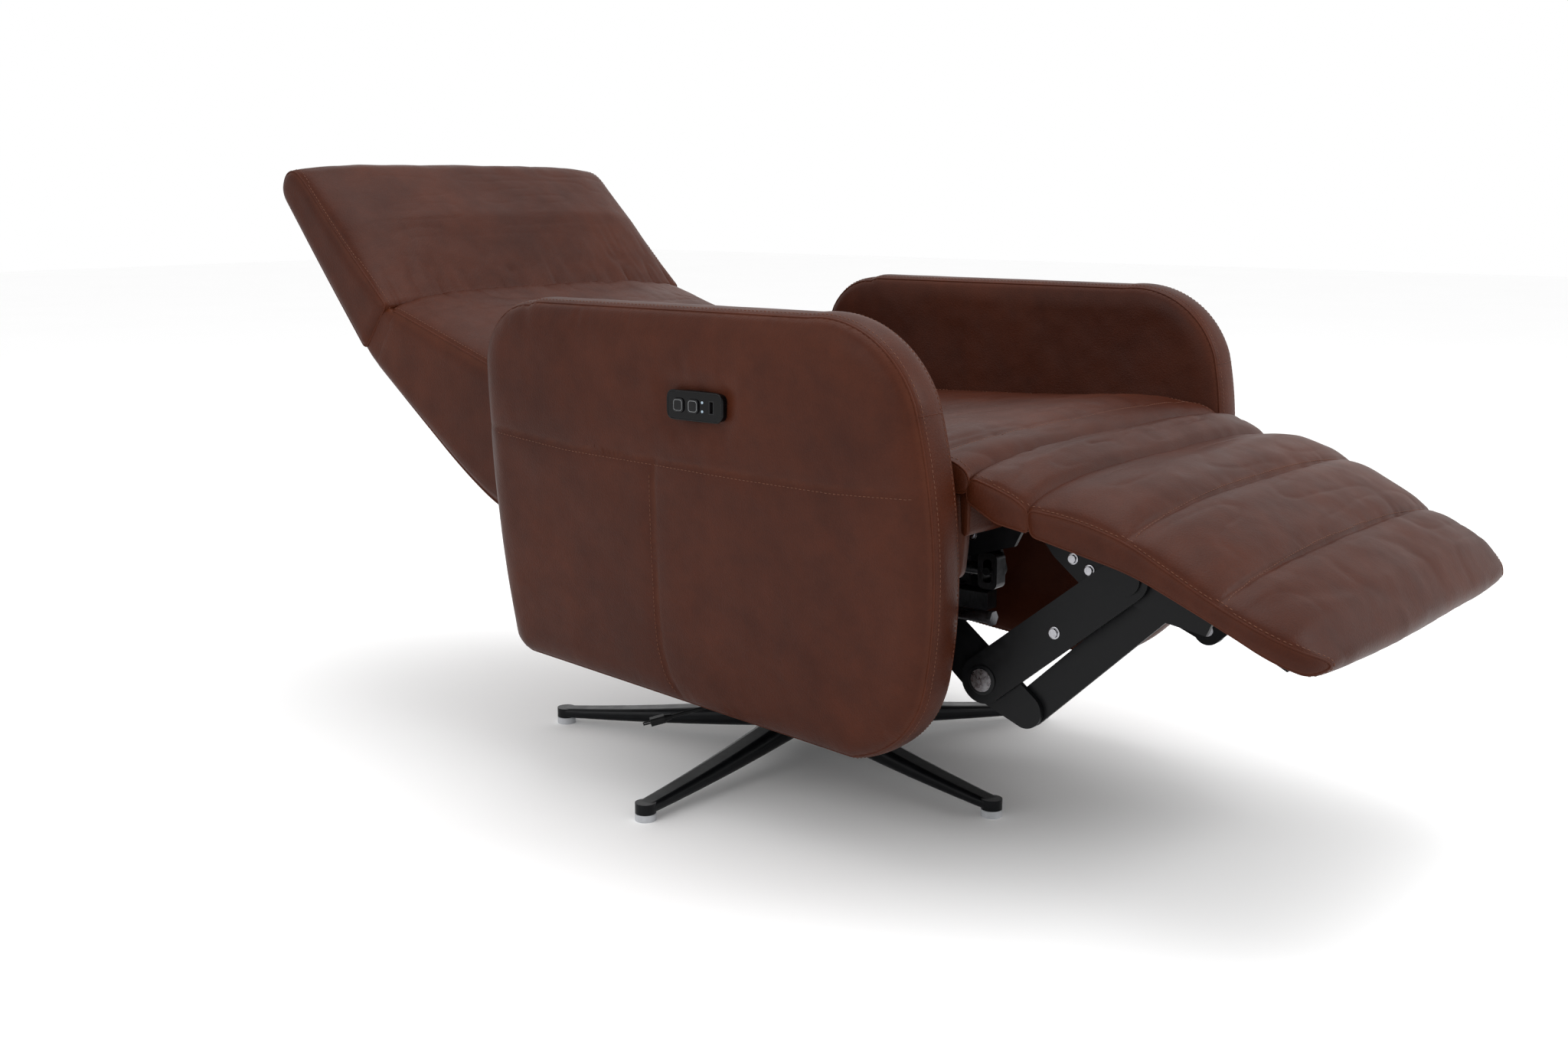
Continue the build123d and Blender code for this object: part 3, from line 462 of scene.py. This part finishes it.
def square_cap(loop, centre):
    """Square grid stretched to fill a closed outline of 4 m points."""
    m = len(loop) // 4
    t = np.linspace(-1, 1, m + 1)
    a, b = np.meshgrid(t, t, indexing="ij")
    r = np.maximum(abs(a), abs(b))
    q = np.zeros_like(a)
    with np.errstate(divide="ignore", invalid="ignore"):
        fa, fb = np.where(r > 0, a / r, 0), np.where(r > 0, b / r, 0)
    bottom = (fb <= -1 + 1e-9)
    right = (fa >= 1 - 1e-9) & ~bottom
    top = (fb >= 1 - 1e-9) & ~right & ~bottom
    left = ~(bottom | right | top)
    q[bottom] = (fa[bottom] + 1) / 2 * m
    q[right] = m + (fb[right] + 1) / 2 * m
    q[top] = 2 * m + (1 - fa[top]) / 2 * m
    q[left] = 3 * m + (1 - fb[left]) / 2 * m
    q %= 4 * m
    low = np.floor(q).astype(int) % (4 * m)
    f = (q - np.floor(q))[..., None]
    rim = loop[low] * (1 - f) + loop[(low + 1) % (4 * m)] * f
    flat = centre + (rim - centre) * r[..., None]
    return flat.reshape(-1, 2), m + 1


def arm_leather(side_name, sign):
    """Closed leather skin of one arm, with its seams and stitching."""
    flat, width = square_cap(arm_loop, np.array(ARM_CENTRE))
    edge = distance_to(flat, arm_loop[::2], closed=True)
    y, z = flat[:, 0], flat[:, 1]
    outer_rise = OUTER_PUFF * np.sqrt(1 - (1 - np.clip(edge / 34, 0, 1)) ** 2)
    outer_rise += 1.5 * np.clip((edge - 30) / 150, 0, 1)
    level_gap, upright_gap = distance_to(flat, level_seam), distance_to(flat, upright_seam)
    fade = np.clip(edge / 14, 0, 1)
    for gap in (level_gap, upright_gap):
        outer_rise -= fade * (1.7 * np.exp(-(gap / 2.6) ** 2) + 1.3 * np.exp(-(gap / 13) ** 2))
    soft = softness(y + 500 * sign, z, np.zeros_like(z) + 40 * sign, 0.8) * np.clip(edge / 30, 0, 1)
    gather = np.clip(noise(y / 9 + 40 * sign, z / 60, 0.5) ** 2 * 2.2, 0, 1)
    soft -= 0.9 * gather * np.exp(-((edge - 12) / 12) ** 2)
    outer_rise += soft
    if sign < 0:
        near = distance_to(flat, panel_outline, closed=True)
        inside = (abs(y + 140) < 42) & (abs(z - 518) < 17.5)
        near[inside] = 0
        dent = 4.2 * np.exp(-(near / 13) ** 2)
        dent += 1.3 * np.exp(-(near / 40) ** 2) * np.clip(0.5 + noise(y / 12, z / 30, 3.3), 0, 1)
        outer_rise -= dent
    inner_rise = (INNER_PUFF * np.sqrt(1 - (1 - np.clip(edge / 30, 0, 1)) ** 2)
                  + softness(y, z + 300, 5 * sign, 1.0) * np.clip(edge / 30, 0, 1))
    outer = np.stack([sign * (arm_face(z, 0) + outer_rise), y, z], 1)
    inner = np.stack([sign * (arm_face(z, -ARM_CORE) - inner_rise), y, z], 1)
    across = np.linspace(0, 1, 15)
    across = 0.5 - 0.5 * np.cos(pi * across)
    band = []
    for w in across:
        bulge = BAND_BULGE * (1 - abs(2 * w - 1) ** 2.4) ** 0.6
        ripple = noise(arm_loop[:, 0] / 40, arm_loop[:, 1] / 40, w * 1.5 + 9 * sign)
        bulge = bulge + 0.5 * ripple * (1 - abs(2 * w - 1))
        line = arm_loop + arm_normals * np.reshape(bulge, (-1, 1))
        level = arm_loop[:, 1]
        reach_out = (1 - w) * arm_face(level, 0) + w * arm_face(level, -ARM_CORE)
        band.append(np.stack([sign * reach_out, line[:, 0], line[:, 1]], 1))
    band = np.array(band).reshape(-1, 3)
    faces = [grid_faces(width, width), grid_faces(width, width, start=len(outer)),
             grid_faces(len(across), LOOP_COUNT, True, start=len(outer) + len(inner))]
    verts = np.vstack([outer, inner, band])
    verts = np.stack([verts[:, 0], verts[:, 1] + AXIS_Y, verts[:, 2]], 1) * MM
    obj = finish_mesh(f"arm_leather_{side_name}", verts, np.vstack(faces), leather)

    def on_face(line, out):
        return np.array([place(sign * float(arm_face(p[1], out)), p[0], p[1]) for p in line])

    outer_line, inner_line = on_face(arm_loop, 0), on_face(arm_loop, -ARM_CORE)
    seam_lines = [outer_line, inner_line, on_face(level_seam, 14), on_face(upright_seam, 14)]
    mark_seam(obj, seam_lines, 2.6)
    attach(obj, "chassis")
    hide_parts(f"arm_outer_panel_{side_name}", f"arm_inner_panel_{side_name}", f"arm_band_{side_name}")
    pieces = [welt(f"arm_seam_outer_{side_name}", outer_line, 1.4),
              welt(f"arm_seam_inner_{side_name}", inner_line, 1.4)]
    inset_line = arm_loop + arm_normals * 3.2
    band_row, inner_row = (
        np.array([place(sign * float(arm_face(p[1], out)), q[0], q[1]) for p, q in zip(arm_loop, inset_line)])
        for out in (-STITCH_INSET, STITCH_INSET - ARM_CORE))
    pieces.append(stitches(f"arm_stitch_outer_{side_name}", np.vstack([band_row, band_row[:1]]), obj))
    pieces.append(stitches(f"arm_stitch_inner_{side_name}", np.vstack([inner_row, inner_row[:1]]), obj))
    below = level_seam + np.array([0, -6.0])
    beside = upright_seam[4:-3] + np.array([6.0, 0])
    pieces.append(stitches(f"arm_stitch_level_{side_name}", on_face(below[4:-2], 14), obj))
    pieces.append(stitches(f"arm_stitch_upright_{side_name}", on_face(beside, 14), obj))
    joint_at = np.argmin(((arm_loop - np.array([-427, 529])) ** 2).sum(1))
    joint_line = []
    for w in np.linspace(0.5, ARM_CORE - 0.5, 20):
        rise = 0.2 + 5.2 * (1 - abs(2 * w / ARM_CORE - 1) ** 2.4) ** 0.6
        joint_line.append(place(sign * float(arm_face(arm_loop[joint_at, 1], -w)),
                                *(arm_loop[joint_at] + arm_normals[joint_at] * rise)))
    joint_line = np.array(joint_line)
    pieces.append(welt(f"arm_strip_joint_{side_name}", joint_line, 0.7, closed=False))
    for piece in pieces:
        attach(piece, "chassis")


SIDES = (("right", -1), ("left", 1))
for side_name, sign in SIDES:
    arm_leather(side_name, sign)


# ---------------------------------------------------------------- cushions
CAP_EDGE = 16               # width over which a side face curves in from its seam


def cushion(name, corners, crowns, half, count=240, across=96, cap_rise=5.0, edge_power=2.6, edge_root=0.55,
            shape=None, soft=1.0, plan=None):
    """Closed padded form: a side outline carried across the chair, crowned between its two side seams.

    Crowns are the rise of the surface in the middle, at each corner of the outline.
    """
    dense = rounded(corners)
    loop = resample(dense, count)
    marks = np.array([c[:2] for c in corners], float)
    lengths = np.r_[0, np.cumsum(np.linalg.norm(np.diff(np.vstack([loop, loop[:1]]), axis=0), axis=1))]
    at = np.array([lengths[np.argmin(((loop - m) ** 2).sum(1))] for m in marks])
    order = np.argsort(at)
    at, level = at[order], np.array(crowns, float)[order]
    crown = np.interp(lengths[:-1], np.r_[at - lengths[-1], at, at + lengths[-1]], np.r_[level, level, level])
    for _ in range(6):
        crown = (np.roll(crown, 1) + 2 * crown + np.roll(crown, -1)) / 4
    normals = outward(loop)
    t = np.linspace(-1, 1, across + 1)
    u = np.sin(t * pi / 2) * 0.55 + t * 0.45
    verts = []
    for value in u:
        rise = crown * (1 - abs(value) ** edge_power) ** edge_root
        x = value * (plan(loop[:, 0]) if plan else np.full(count, half))
        inside = (1 - abs(value) ** 8)
        rise = rise + softness(x, loop[:, 0], loop[:, 1], soft) * inside
        if shape is not None:
            rise = rise + shape(x, loop[:, 0], loop[:, 1], value) * inside ** 0.5
        line = loop + normals * np.reshape(rise, (-1, 1))
        verts.append(np.stack([x, line[:, 0], line[:, 1]], 1))
    verts = np.array(verts).reshape(-1, 3)
    faces = [grid_faces(len(u), count, True)]
    rungs = 14
    start = len(verts)
    caps = []
    pairs = np.arange(0, count // 2 + 1)
    for sign in (-1, 1):
        ladder = np.array([[loop[i] * (1 - k / rungs) + loop[(count - i) % count] * (k / rungs)
                            for k in range(rungs + 1)] for i in pairs])
        flat = ladder.reshape(-1, 2)
        edge = distance_to(flat, loop[::2], closed=True)
        on_rim = [(k in (0, rungs)) or i in (0, count // 2) for i in pairs for k in range(rungs + 1)]
        edge[np.array(on_rim)] = 0
        easing = np.clip(edge / CAP_EDGE, 0, 1)
        rise = (cap_rise * np.sqrt(1 - (1 - easing) ** 2)
                + softness(sign * half, flat[:, 0], flat[:, 1], 0.7 * soft) * easing)
        width = plan(flat[:, 0]) if plan else half
        caps.append(np.stack([sign * (width + rise), flat[:, 0], flat[:, 1]], 1))
        faces.append(grid_faces(len(pairs), rungs + 1, start=start))
        start += len(caps[-1])
    verts = np.vstack([verts, *caps])
    verts = np.stack([verts[:, 0], verts[:, 1] + AXIS_Y, verts[:, 2]], 1) * MM
    obj = finish_mesh(name, verts, np.vstack(faces), leather)
    widths = plan(loop[:, 0]) if plan else np.full(count, half)
    lines = [np.array([place(sign * w, *p) for w, p in zip(widths, loop)]) for sign in (-1, 1)]
    return obj, loop, lines


SIDE_WELT, SIDE_STITCH_INSET = 1.3, 7


def dress(obj, body, nodes, lines, extra_lines=(), blend_to=None):
    """Seam marks, welts and stitching of a cushion, and what it rides on."""
    mark_seam(obj, [*lines, *extra_lines], 2.6)
    pieces = [obj]
    for number, line in enumerate(lines):
        pieces.append(welt(f"{obj.name}_seam_{number + 1}", line, SIDE_WELT))
        inward = line + np.array([np.sign(-line[:, 0].mean()) * SIDE_STITCH_INSET * MM, 0, 0])
        pieces.append(stitches(f"{obj.name}_stitch_{number + 1}", inward, obj))
    for number, line in enumerate(extra_lines):
        pieces.append(stitches(f"{obj.name}_row_{number + 1}", line, obj))
    for piece in pieces:
        if blend_to:
            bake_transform(piece)
        else:
            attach(piece, body)
    if nodes:
        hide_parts(*nodes)


def crease_gathers(x, depth, seed, reach, amount):
    """Folds that run away from a crease, deepest beside it."""
    wander = 22 * noise(x / 120 + seed, 0.3, seed)
    ridge = 1 - abs(noise((x + wander) / 17 + seed, depth / 90, seed))
    fine = 1 - abs(noise((x + wander) / 8 + seed * 2, depth / 60, seed + 4))
    unevenness = 0.4 + 0.6 * noise(x / 70, seed, 1.7) ** 2 + 0.4
    return -amount * (ridge ** 4 + 0.5 * fine ** 5) * np.exp(-depth / reach) * unevenness


# headrest: crease end first, then up the front, over the top and down the back
def head_shape(x, y, z, value):
    depth = np.hypot(y - 507, z - 604)
    front_face = np.clip((z - 598 - 1.05 * (y - 507)) / 14 + 1, 0, 1)
    back_folds = -1.6 * (1 - abs(noise(x / 60, (y + z) / 22, 8.8))) ** 5 * (1 - front_face)
    return crease_gathers(x, np.maximum(depth - 6, 0), 2.5, 46, 4.2) * front_face + back_folds


head, _loop, head_lines = cushion(
    "headrest_leather",
    [(502, 598, 6), (602, 693, 60), (676, 770, 24), (695, 781, 16), (712, 774, 14), (721, 750, 16),
     (635, 641, 60), (549, 536, 10)],
    [12, 36, 26, 8, 8, 8, 8, 4], 297, count=260, across=130, cap_rise=6, shape=head_shape, edge_power=4.2)
dress(head, "headrest", ["headrest_pad"], head_lines)


# back: front face from the seat up to the crease, then round the rear of the shell
def back_shape(x, y, z, value):
    front_line = 461 + (y - 96) * 0.3392
    front_face = np.clip((z - front_line) / 12 + 1.5, 0, 1)
    depth = np.maximum(np.hypot(y - 497, z - 597) - 6, 0)
    folds = crease_gathers(x, depth, 6.1, 40, 3.6) * front_face
    sag = -1.5 * (1 - abs(noise(x / 80, (y + 0.5 * z) / 26, 4.4))) ** 5
    return folds + sag * 0.8


back, _loop, back_lines = cushion(
    "back_leather",
    [(96, 459, 14), (298, 527, 60), (496, 593, 12), (522, 548, 10), (535, 521, 12), (440, 447, 60),
     (357, 383, 60), (283, 338, 50), (190, 316, 40), (128, 350, 30), (112, 405, 14)],
    [20, 30, 26, 4, 6, 8, 8, 7, 6, 4, 3], 292, count=320, across=120, cap_rise=6, shape=back_shape,
    edge_power=3.4)
dress(back, "back", ["back_cushion", "back_shell"], back_lines)

# soft gusset in the fold between back and headrest
def gusset_shape(x, y, z, value):
    return -2.2 * (1 - abs(noise(x / 30, (y - z) / 14, 2.2))) ** 4


gusset, _loop, gusset_lines = cushion(
    "crease_gusset",
    [(470, 560, 8), (488, 588, 6), (503, 594, 6), (540, 606, 10), (575, 590, 10), (566, 557, 10),
     (543, 528, 8), (520, 508, 8), (490, 500, 8)],
    [0, 2, 4, 3, 3, 5, 6, 5, 2], 293, count=140, across=110, cap_rise=4.5, shape=gusset_shape)
mark_seam(gusset, gusset_lines, 3)
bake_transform(gusset)


# seat cushion
def across_line(y, z_of, half, steps=90):
    return np.array([place(x, y, z_of(x)) for x in np.linspace(-half, half, steps)])


def seat_shape(x, y, z, value):
    top = np.clip((z - 452) / 10, 0, 1)
    groove = -2.6 * np.exp(-((y + 400) / 3.2) ** 2) - 3.2 * np.exp(-((y + 400) / 16) ** 2)
    dip = -5.0 * np.exp(-((y + 150) / 130) ** 2) * (1 - abs(value) ** 2)
    ridge = -1.8 * (1 - abs(noise(x / 70, y / 20, 5.5))) ** 5
    return top * (groove + dip + ridge)


seat, _loop, seat_lines = cushion(
    "seat_leather",
    [(56, 450, 6), (52, 463, 10), (-200, 470, 50), (-370, 480, 30), (-428, 474, 16), (-446, 462, 8),
     (-448, 446, 6), (-440, 441, 4), (44, 441, 4)],
    [2, 8, 16, 18, 14, 6, 2, 0, 0], 301, count=300, across=110, cap_rise=3, shape=seat_shape)
seat_row = across_line(-406, lambda x: 494 - 18 * (x / 300) ** 2, 285)
dress(seat, "seat", ["seat_cushion"], seat_lines, [seat_row])


# channel that bridges the footrest hinge
def bridge_shape(x, y, z, value):
    top = np.clip((z - 436) / 10, 0, 1)
    return top * (-1.8 * (1 - abs(noise(x / 40, y / 16, 7.7))) ** 4)


bridge, _loop, bridge_lines = cushion(
    "hinge_channel",
    [(-444, 446, 6), (-450, 458, 8), (-480, 450, 20), (-506, 440, 10), (-519, 430, 6), (-519, 408, 5),
     (-480, 414, 5), (-446, 432, 5)],
    [8, 20, 38, 36, 24, 2, 2, 2], 301, count=160, across=110, cap_rise=4, shape=bridge_shape, edge_power=3.2)
dress(bridge, "seat", [], bridge_lines,
      blend_to=("footrest", place(0, -444, 452), place(0, -514, 430)))

# footrest
foot_seams = (-631.0, -731.0)


def foot_plan(y):
    """Half width of the footrest, rounded at its two front corners."""
    return 301 - 58 * (1 - np.sqrt(1 - np.clip((-y - 768) / 66, 0, 1) ** 2))


def foot_shape(x, y, z, value):
    edge_level = np.interp(-y, [470, 516, 575, 631, 731, 806, 830], [436, 432, 426, 411, 361, 331, 312])
    top = np.clip((z - edge_level) / 6 + 1.6, 0, 1)
    drop = np.zeros_like(y)
    for seam in foot_seams:
        drop = drop - 3.6 * np.exp(-((y - seam) / 3.0) ** 2) - 6.0 * np.exp(-((y - seam) / 15) ** 2)
    folds = -1.0 * (1 - abs(noise(x / 90, y / 30, 3.9))) ** 6
    puckers = -0.9 * (1 - abs(noise(x / 14, y / 60, 6.6))) ** 4
    near_seam = sum(np.exp(-((y - seam) / 11) ** 2) for seam in foot_seams)
    across_fold = (x + 200) * 0.25 + (y + 800) * 0.97 - 20
    diagonal = -1.2 * np.exp(-(across_fold / 9) ** 2) * np.clip((-745 - y) / 20, 0, 1)
    folds = folds + diagonal
    return top * (drop + folds + puckers * near_seam)


foot, _loop, foot_lines = cushion(
    "footrest_leather",
    [(-519, 420, 6), (-520, 432, 8), (-575, 427, 30), (-631, 412, 24), (-731, 361, 24), (-800, 333, 24),
     (-828, 319, 8), (-832, 309, 6), (-818, 303, 8), (-731, 343, 30), (-640, 381, 30), (-524, 405, 6)],
    [14, 28, 42, 40, 40, 30, 10, 6, 12, 9, 4, 0], 301, count=320, across=130, cap_rise=4, shape=foot_shape,
    edge_power=3.4, plan=foot_plan)
foot_rows = []
for seam_y, seam_z in ((-637.5, 443), (-737.5, 392)):
    foot_rows.append(across_line(seam_y, lambda x, level=seam_z: level - 30 * abs(x / 300) ** 3, 292))
dress(foot, "footrest", ["footrest_pad"], foot_lines, foot_rows)

# leather over the seat sides
for side_name, sign in SIDES:
    side_corners = [(50, 341, 12), (50, 440, 6), (-434, 440, 6), (-434, 392, 20), (-428, 341, 14)]
    loop = resample(rounded(side_corners), 240)
    flat, width = square_cap(loop, np.array([-190.0, 390.0]))
    edge = distance_to(flat, loop, closed=True)
    rise = 4 * np.sqrt(1 - (1 - np.clip(edge / 12, 0, 1)) ** 2)
    outer = np.stack([sign * (290 + rise), flat[:, 0], flat[:, 1]], 1)
    inner = np.stack([sign * (276 - rise), flat[:, 0], flat[:, 1]], 1)
    rim = np.vstack([np.stack([np.full(240, sign * x), loop[:, 0], loop[:, 1]], 1) for x in (290, 276)])
    verts = np.vstack([outer, inner, rim])
    verts[:, 1] += AXIS_Y
    seat_side = finish_mesh(f"seat_side_leather_{side_name}", verts * MM, np.vstack([
        grid_faces(width, width), grid_faces(width, width, start=len(outer)),
        grid_faces(2, 240, True, start=2 * len(outer))]), leather)
    mark_seam(seat_side, [np.array([place(sign * 290, *p) for p in loop])], 4)
    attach(seat_side, "seat")
    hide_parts(f"seat_side_{side_name}")

# leather over the front rail, under the seat's front edge
front_cover, _loop, cover_lines = cushion(
    "seat_front_leather",
    [(-434, 396, 3), (-430, 441, 2), (-436, 444, 2), (-442, 441, 3), (-441, 396, 3), (-437, 392, 2)],
    [0, 0, 0, 1, 3, 1], 292, count=100, across=60, cap_rise=1.5)
mark_seam(front_cover, cover_lines, 3)
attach(front_cover, "seat")

# flap behind the seat, from the seat up to the back
flap, _loop, flap_lines = cushion(
    "seat_back_flap",
    [(40, 444, 4), (46, 458, 6), (80, 462, 10), (112, 466, 6), (118, 452, 5), (90, 442, 8), (60, 438, 6)],
    [2, 4, 5, 3, 1, 1, 1], 280, count=120, across=60, cap_rise=3)
mark_seam(flap, flap_lines, 3)
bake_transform(flap)


# ---------------------------------------------------------------- small hardware
def lathe(name, profile, centre, axis, material, sides=24, hexagon=None):
    """Turned piece: profile is (radius, height) in mm along the axis, from centre in metres."""
    axis = Vector(axis).normalized()
    side = axis.orthogonal().normalized()
    other = axis.cross(side)
    verts, faces = [], []
    for radius, height in profile:
        for k in range(sides):
            turn = 2 * pi * k / sides
            r = radius
            if hexagon and hexagon[0] <= height <= hexagon[1]:
                local = (turn % (pi / 3)) - pi / 6
                r = radius * 0.866 / cos(local)
            spoke = (side * cos(turn) + other * sin(turn)) * r * MM
            verts.append(Vector(centre) + axis * height * MM + spoke)
    verts.append(Vector(centre) + axis * profile[0][1] * MM)
    verts.append(Vector(centre) + axis * profile[-1][1] * MM)
    faces = [tuple(f) for f in grid_faces(len(profile), sides, True)]
    last = (len(profile) - 1) * sides
    for k in range(sides):
        n = (k + 1) % sides
        faces.append((k, n, len(verts) - 2))
        faces.append((last + n, last + k, len(verts) - 1))
    return finish_mesh(name, verts, faces, material, crease_deg=35)


def bolt_head(name, x, y, z, body, radius=7.0, height=4.0):
    """Domed hexagon head whose washer sits on the plate at x and that points away from the middle."""
    way = 1 if x > 0 else -1
    profile = [(radius * 1.25, 0), (radius * 1.25, 0.9), (radius * 1.18, 1.1), (radius, 1.15),
               (radius, height * 0.8), (radius * 0.86, height), (radius * 0.3, height * 1.02)]
    obj = lathe(name, profile, place(x, y, z), (way, 0, 0), bolt_look, 24, (1.12, height * 0.81))
    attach(obj, body)
    return obj


for side_name, sign in SIDES:
    bolt_head(f"knee_bolt_{side_name}", sign * 238.1, -474, 442, "seat", 7.5, 4.5)
    bolt_head(f"bracket_bolt_a_{side_name}", sign * 234.1, -536, 372, "footrest", 5.0, 3.5)
    bolt_head(f"bracket_bolt_b_{side_name}", sign * 234.1, -556, 362, "footrest", 5.0, 3.5)
    bolt_head(f"link_bolt_a_{side_name}", sign * 241.1, -520, 290, f"long_link_{side_name}", 5.5, 3.5)
    bolt_head(f"plate_bolt_a_{side_name}", sign * 220.1, -400, 380, "seat", 6.0, 4.0)
    bolt_head(f"plate_bolt_b_{side_name}", sign * 220.1, -340, 370, "seat", 6.0, 4.0)
    bolt_head(f"rod_end_{side_name}", sign * 272.2, -300, 300, "seat", 6.5, 5.0)

# dark caps round the lower pivots of the broad links
CAP_PROFILE = [(17.0, 0), (17.0, 1.4), (15.6, 2.2), (6.0, 2.6)]
for side_name, sign in SIDES:
    cap = lathe(f"pivot_cap_{side_name}", CAP_PROFILE, place(sign * 241.1, -431, 222), (sign, 0, 0),
                link_look)
    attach(cap, f"long_link_{side_name}")

# rings round the two buttons
BUTTON_RINGS = (("ring_recline", "button_recline", -117), ("ring_upright", "button_upright", -139))
for ring_name, body, ring_y in BUTTON_RINGS:
    ring_corners = [(ring_y - 6, 512, 3.4), (ring_y + 6, 512, 3.4), (ring_y + 6, 524, 3.4),
                    (ring_y - 6, 524, 3.4)]
    ring_loop = resample(rounded(ring_corners), 64)
    ring_line = np.array([place(-389.9, *p) for p in ring_loop])
    ring = welt(ring_name, ring_line, 0.42, ring_look)
    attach(ring, body)
trim_loop = resample(rounded([(-180, 502, 9), (-100, 502, 9), (-100, 534, 9), (-180, 534, 9)]), 160)
trim = welt("panel_trim", np.array([place(-387.6, *p) for p in trim_loop]), 1.0, gloss_look)
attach(trim, "chassis")


# ---------------------------------------------------------------- low-voltage lead
lead_route = [(-125, -2, 117.5), (-129, 2, 104), (-148, 17, 91), (-178, 40, 85), (-207, 66, 76)]
lead_curve = bpy.data.curves.new("lead_cord", "CURVE")
lead_curve.dimensions = "3D"
lead_curve.bevel_depth = 2.5 * MM
lead_curve.bevel_resolution = 4
lead_curve.resolution_u = 24
lead_curve.use_fill_caps = True
spline = lead_curve.splines.new("NURBS")
spline.points.add(len(lead_route) - 1)
for point, spot in zip(spline.points, lead_route):
    point.co = (*place(*spot), 1)
spline.order_u = 3
spline.use_endpoint_u = True
lead_curve.materials.append(lead_look)
lead = bpy.data.objects.new("lead_cord", lead_curve)
scene.collection.objects.link(lead)
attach(lead, "chassis")
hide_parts("power_lead")

# ---------------------------------------------------------------- floor and light
floor_mesh = bpy.data.meshes.new("floor")
FLOOR_HALF = 14.0
floor_mesh.from_pydata([(-FLOOR_HALF, -FLOOR_HALF, 0), (FLOOR_HALF, -FLOOR_HALF, 0),
                        (FLOOR_HALF, FLOOR_HALF, 0), (-FLOOR_HALF, FLOOR_HALF, 0)], [], [(0, 1, 2, 3)])
floor = bpy.data.objects.new("floor", floor_mesh)
floor_look, floor_nodes, floor_links, floor_shader = new_material("floor_pale")
floor_coords = floor_nodes.new("ShaderNodeTexCoord")
floor_noise = add_noise(floor_nodes, floor_links, floor_coords, 1.5, 3)
floor_tone = add_ramp(floor_nodes, floor_links, floor_noise.outputs["Fac"],
                      [(0.3, (0.965, 0.965, 0.965)), (0.7, (0.975, 0.975, 0.975))])
floor_links.new(floor_tone.outputs["Color"], floor_shader.inputs["Base Color"])
floor_shader.inputs["Roughness"].default_value = 0.9
floor_mesh.materials.append(floor_look)
scene.collection.objects.link(floor)

world = bpy.data.worlds.new("studio")
world.use_nodes = True
world.node_tree.nodes["Background"].inputs["Color"].default_value = (1, 1, 1, 1)
world.node_tree.nodes["Background"].inputs["Strength"].default_value = 1.0
scene.world = world
scene.view_settings.view_transform = "Standard"
scene.view_settings.look = "None"


def softbox(name, location, target, size, power):
    data = bpy.data.lights.new(name, "AREA")
    data.shape, data.size, data.size_y = "RECTANGLE", size[0], size[1]
    data.energy = power
    lamp = bpy.data.objects.new(name, data)
    lamp.location = location
    lamp.rotation_mode = "QUATERNION"
    lamp.rotation_quaternion = (Vector(target) - Vector(location)).to_track_quat("-Z", "Y")
    scene.collection.objects.link(lamp)


softbox("top_light", (0.3, -0.2, 3.4), (0, 0, 0.4), (2.6, 2.6), 52)
softbox("front_light", (1.4, -3.4, 2.4), (0, -0.2, 0.4), (1.8, 1.8), 56)
softbox("side_light", (-3.4, 0.6, 2.0), (0, 0, 0.4), (1.6, 2.0), 22)
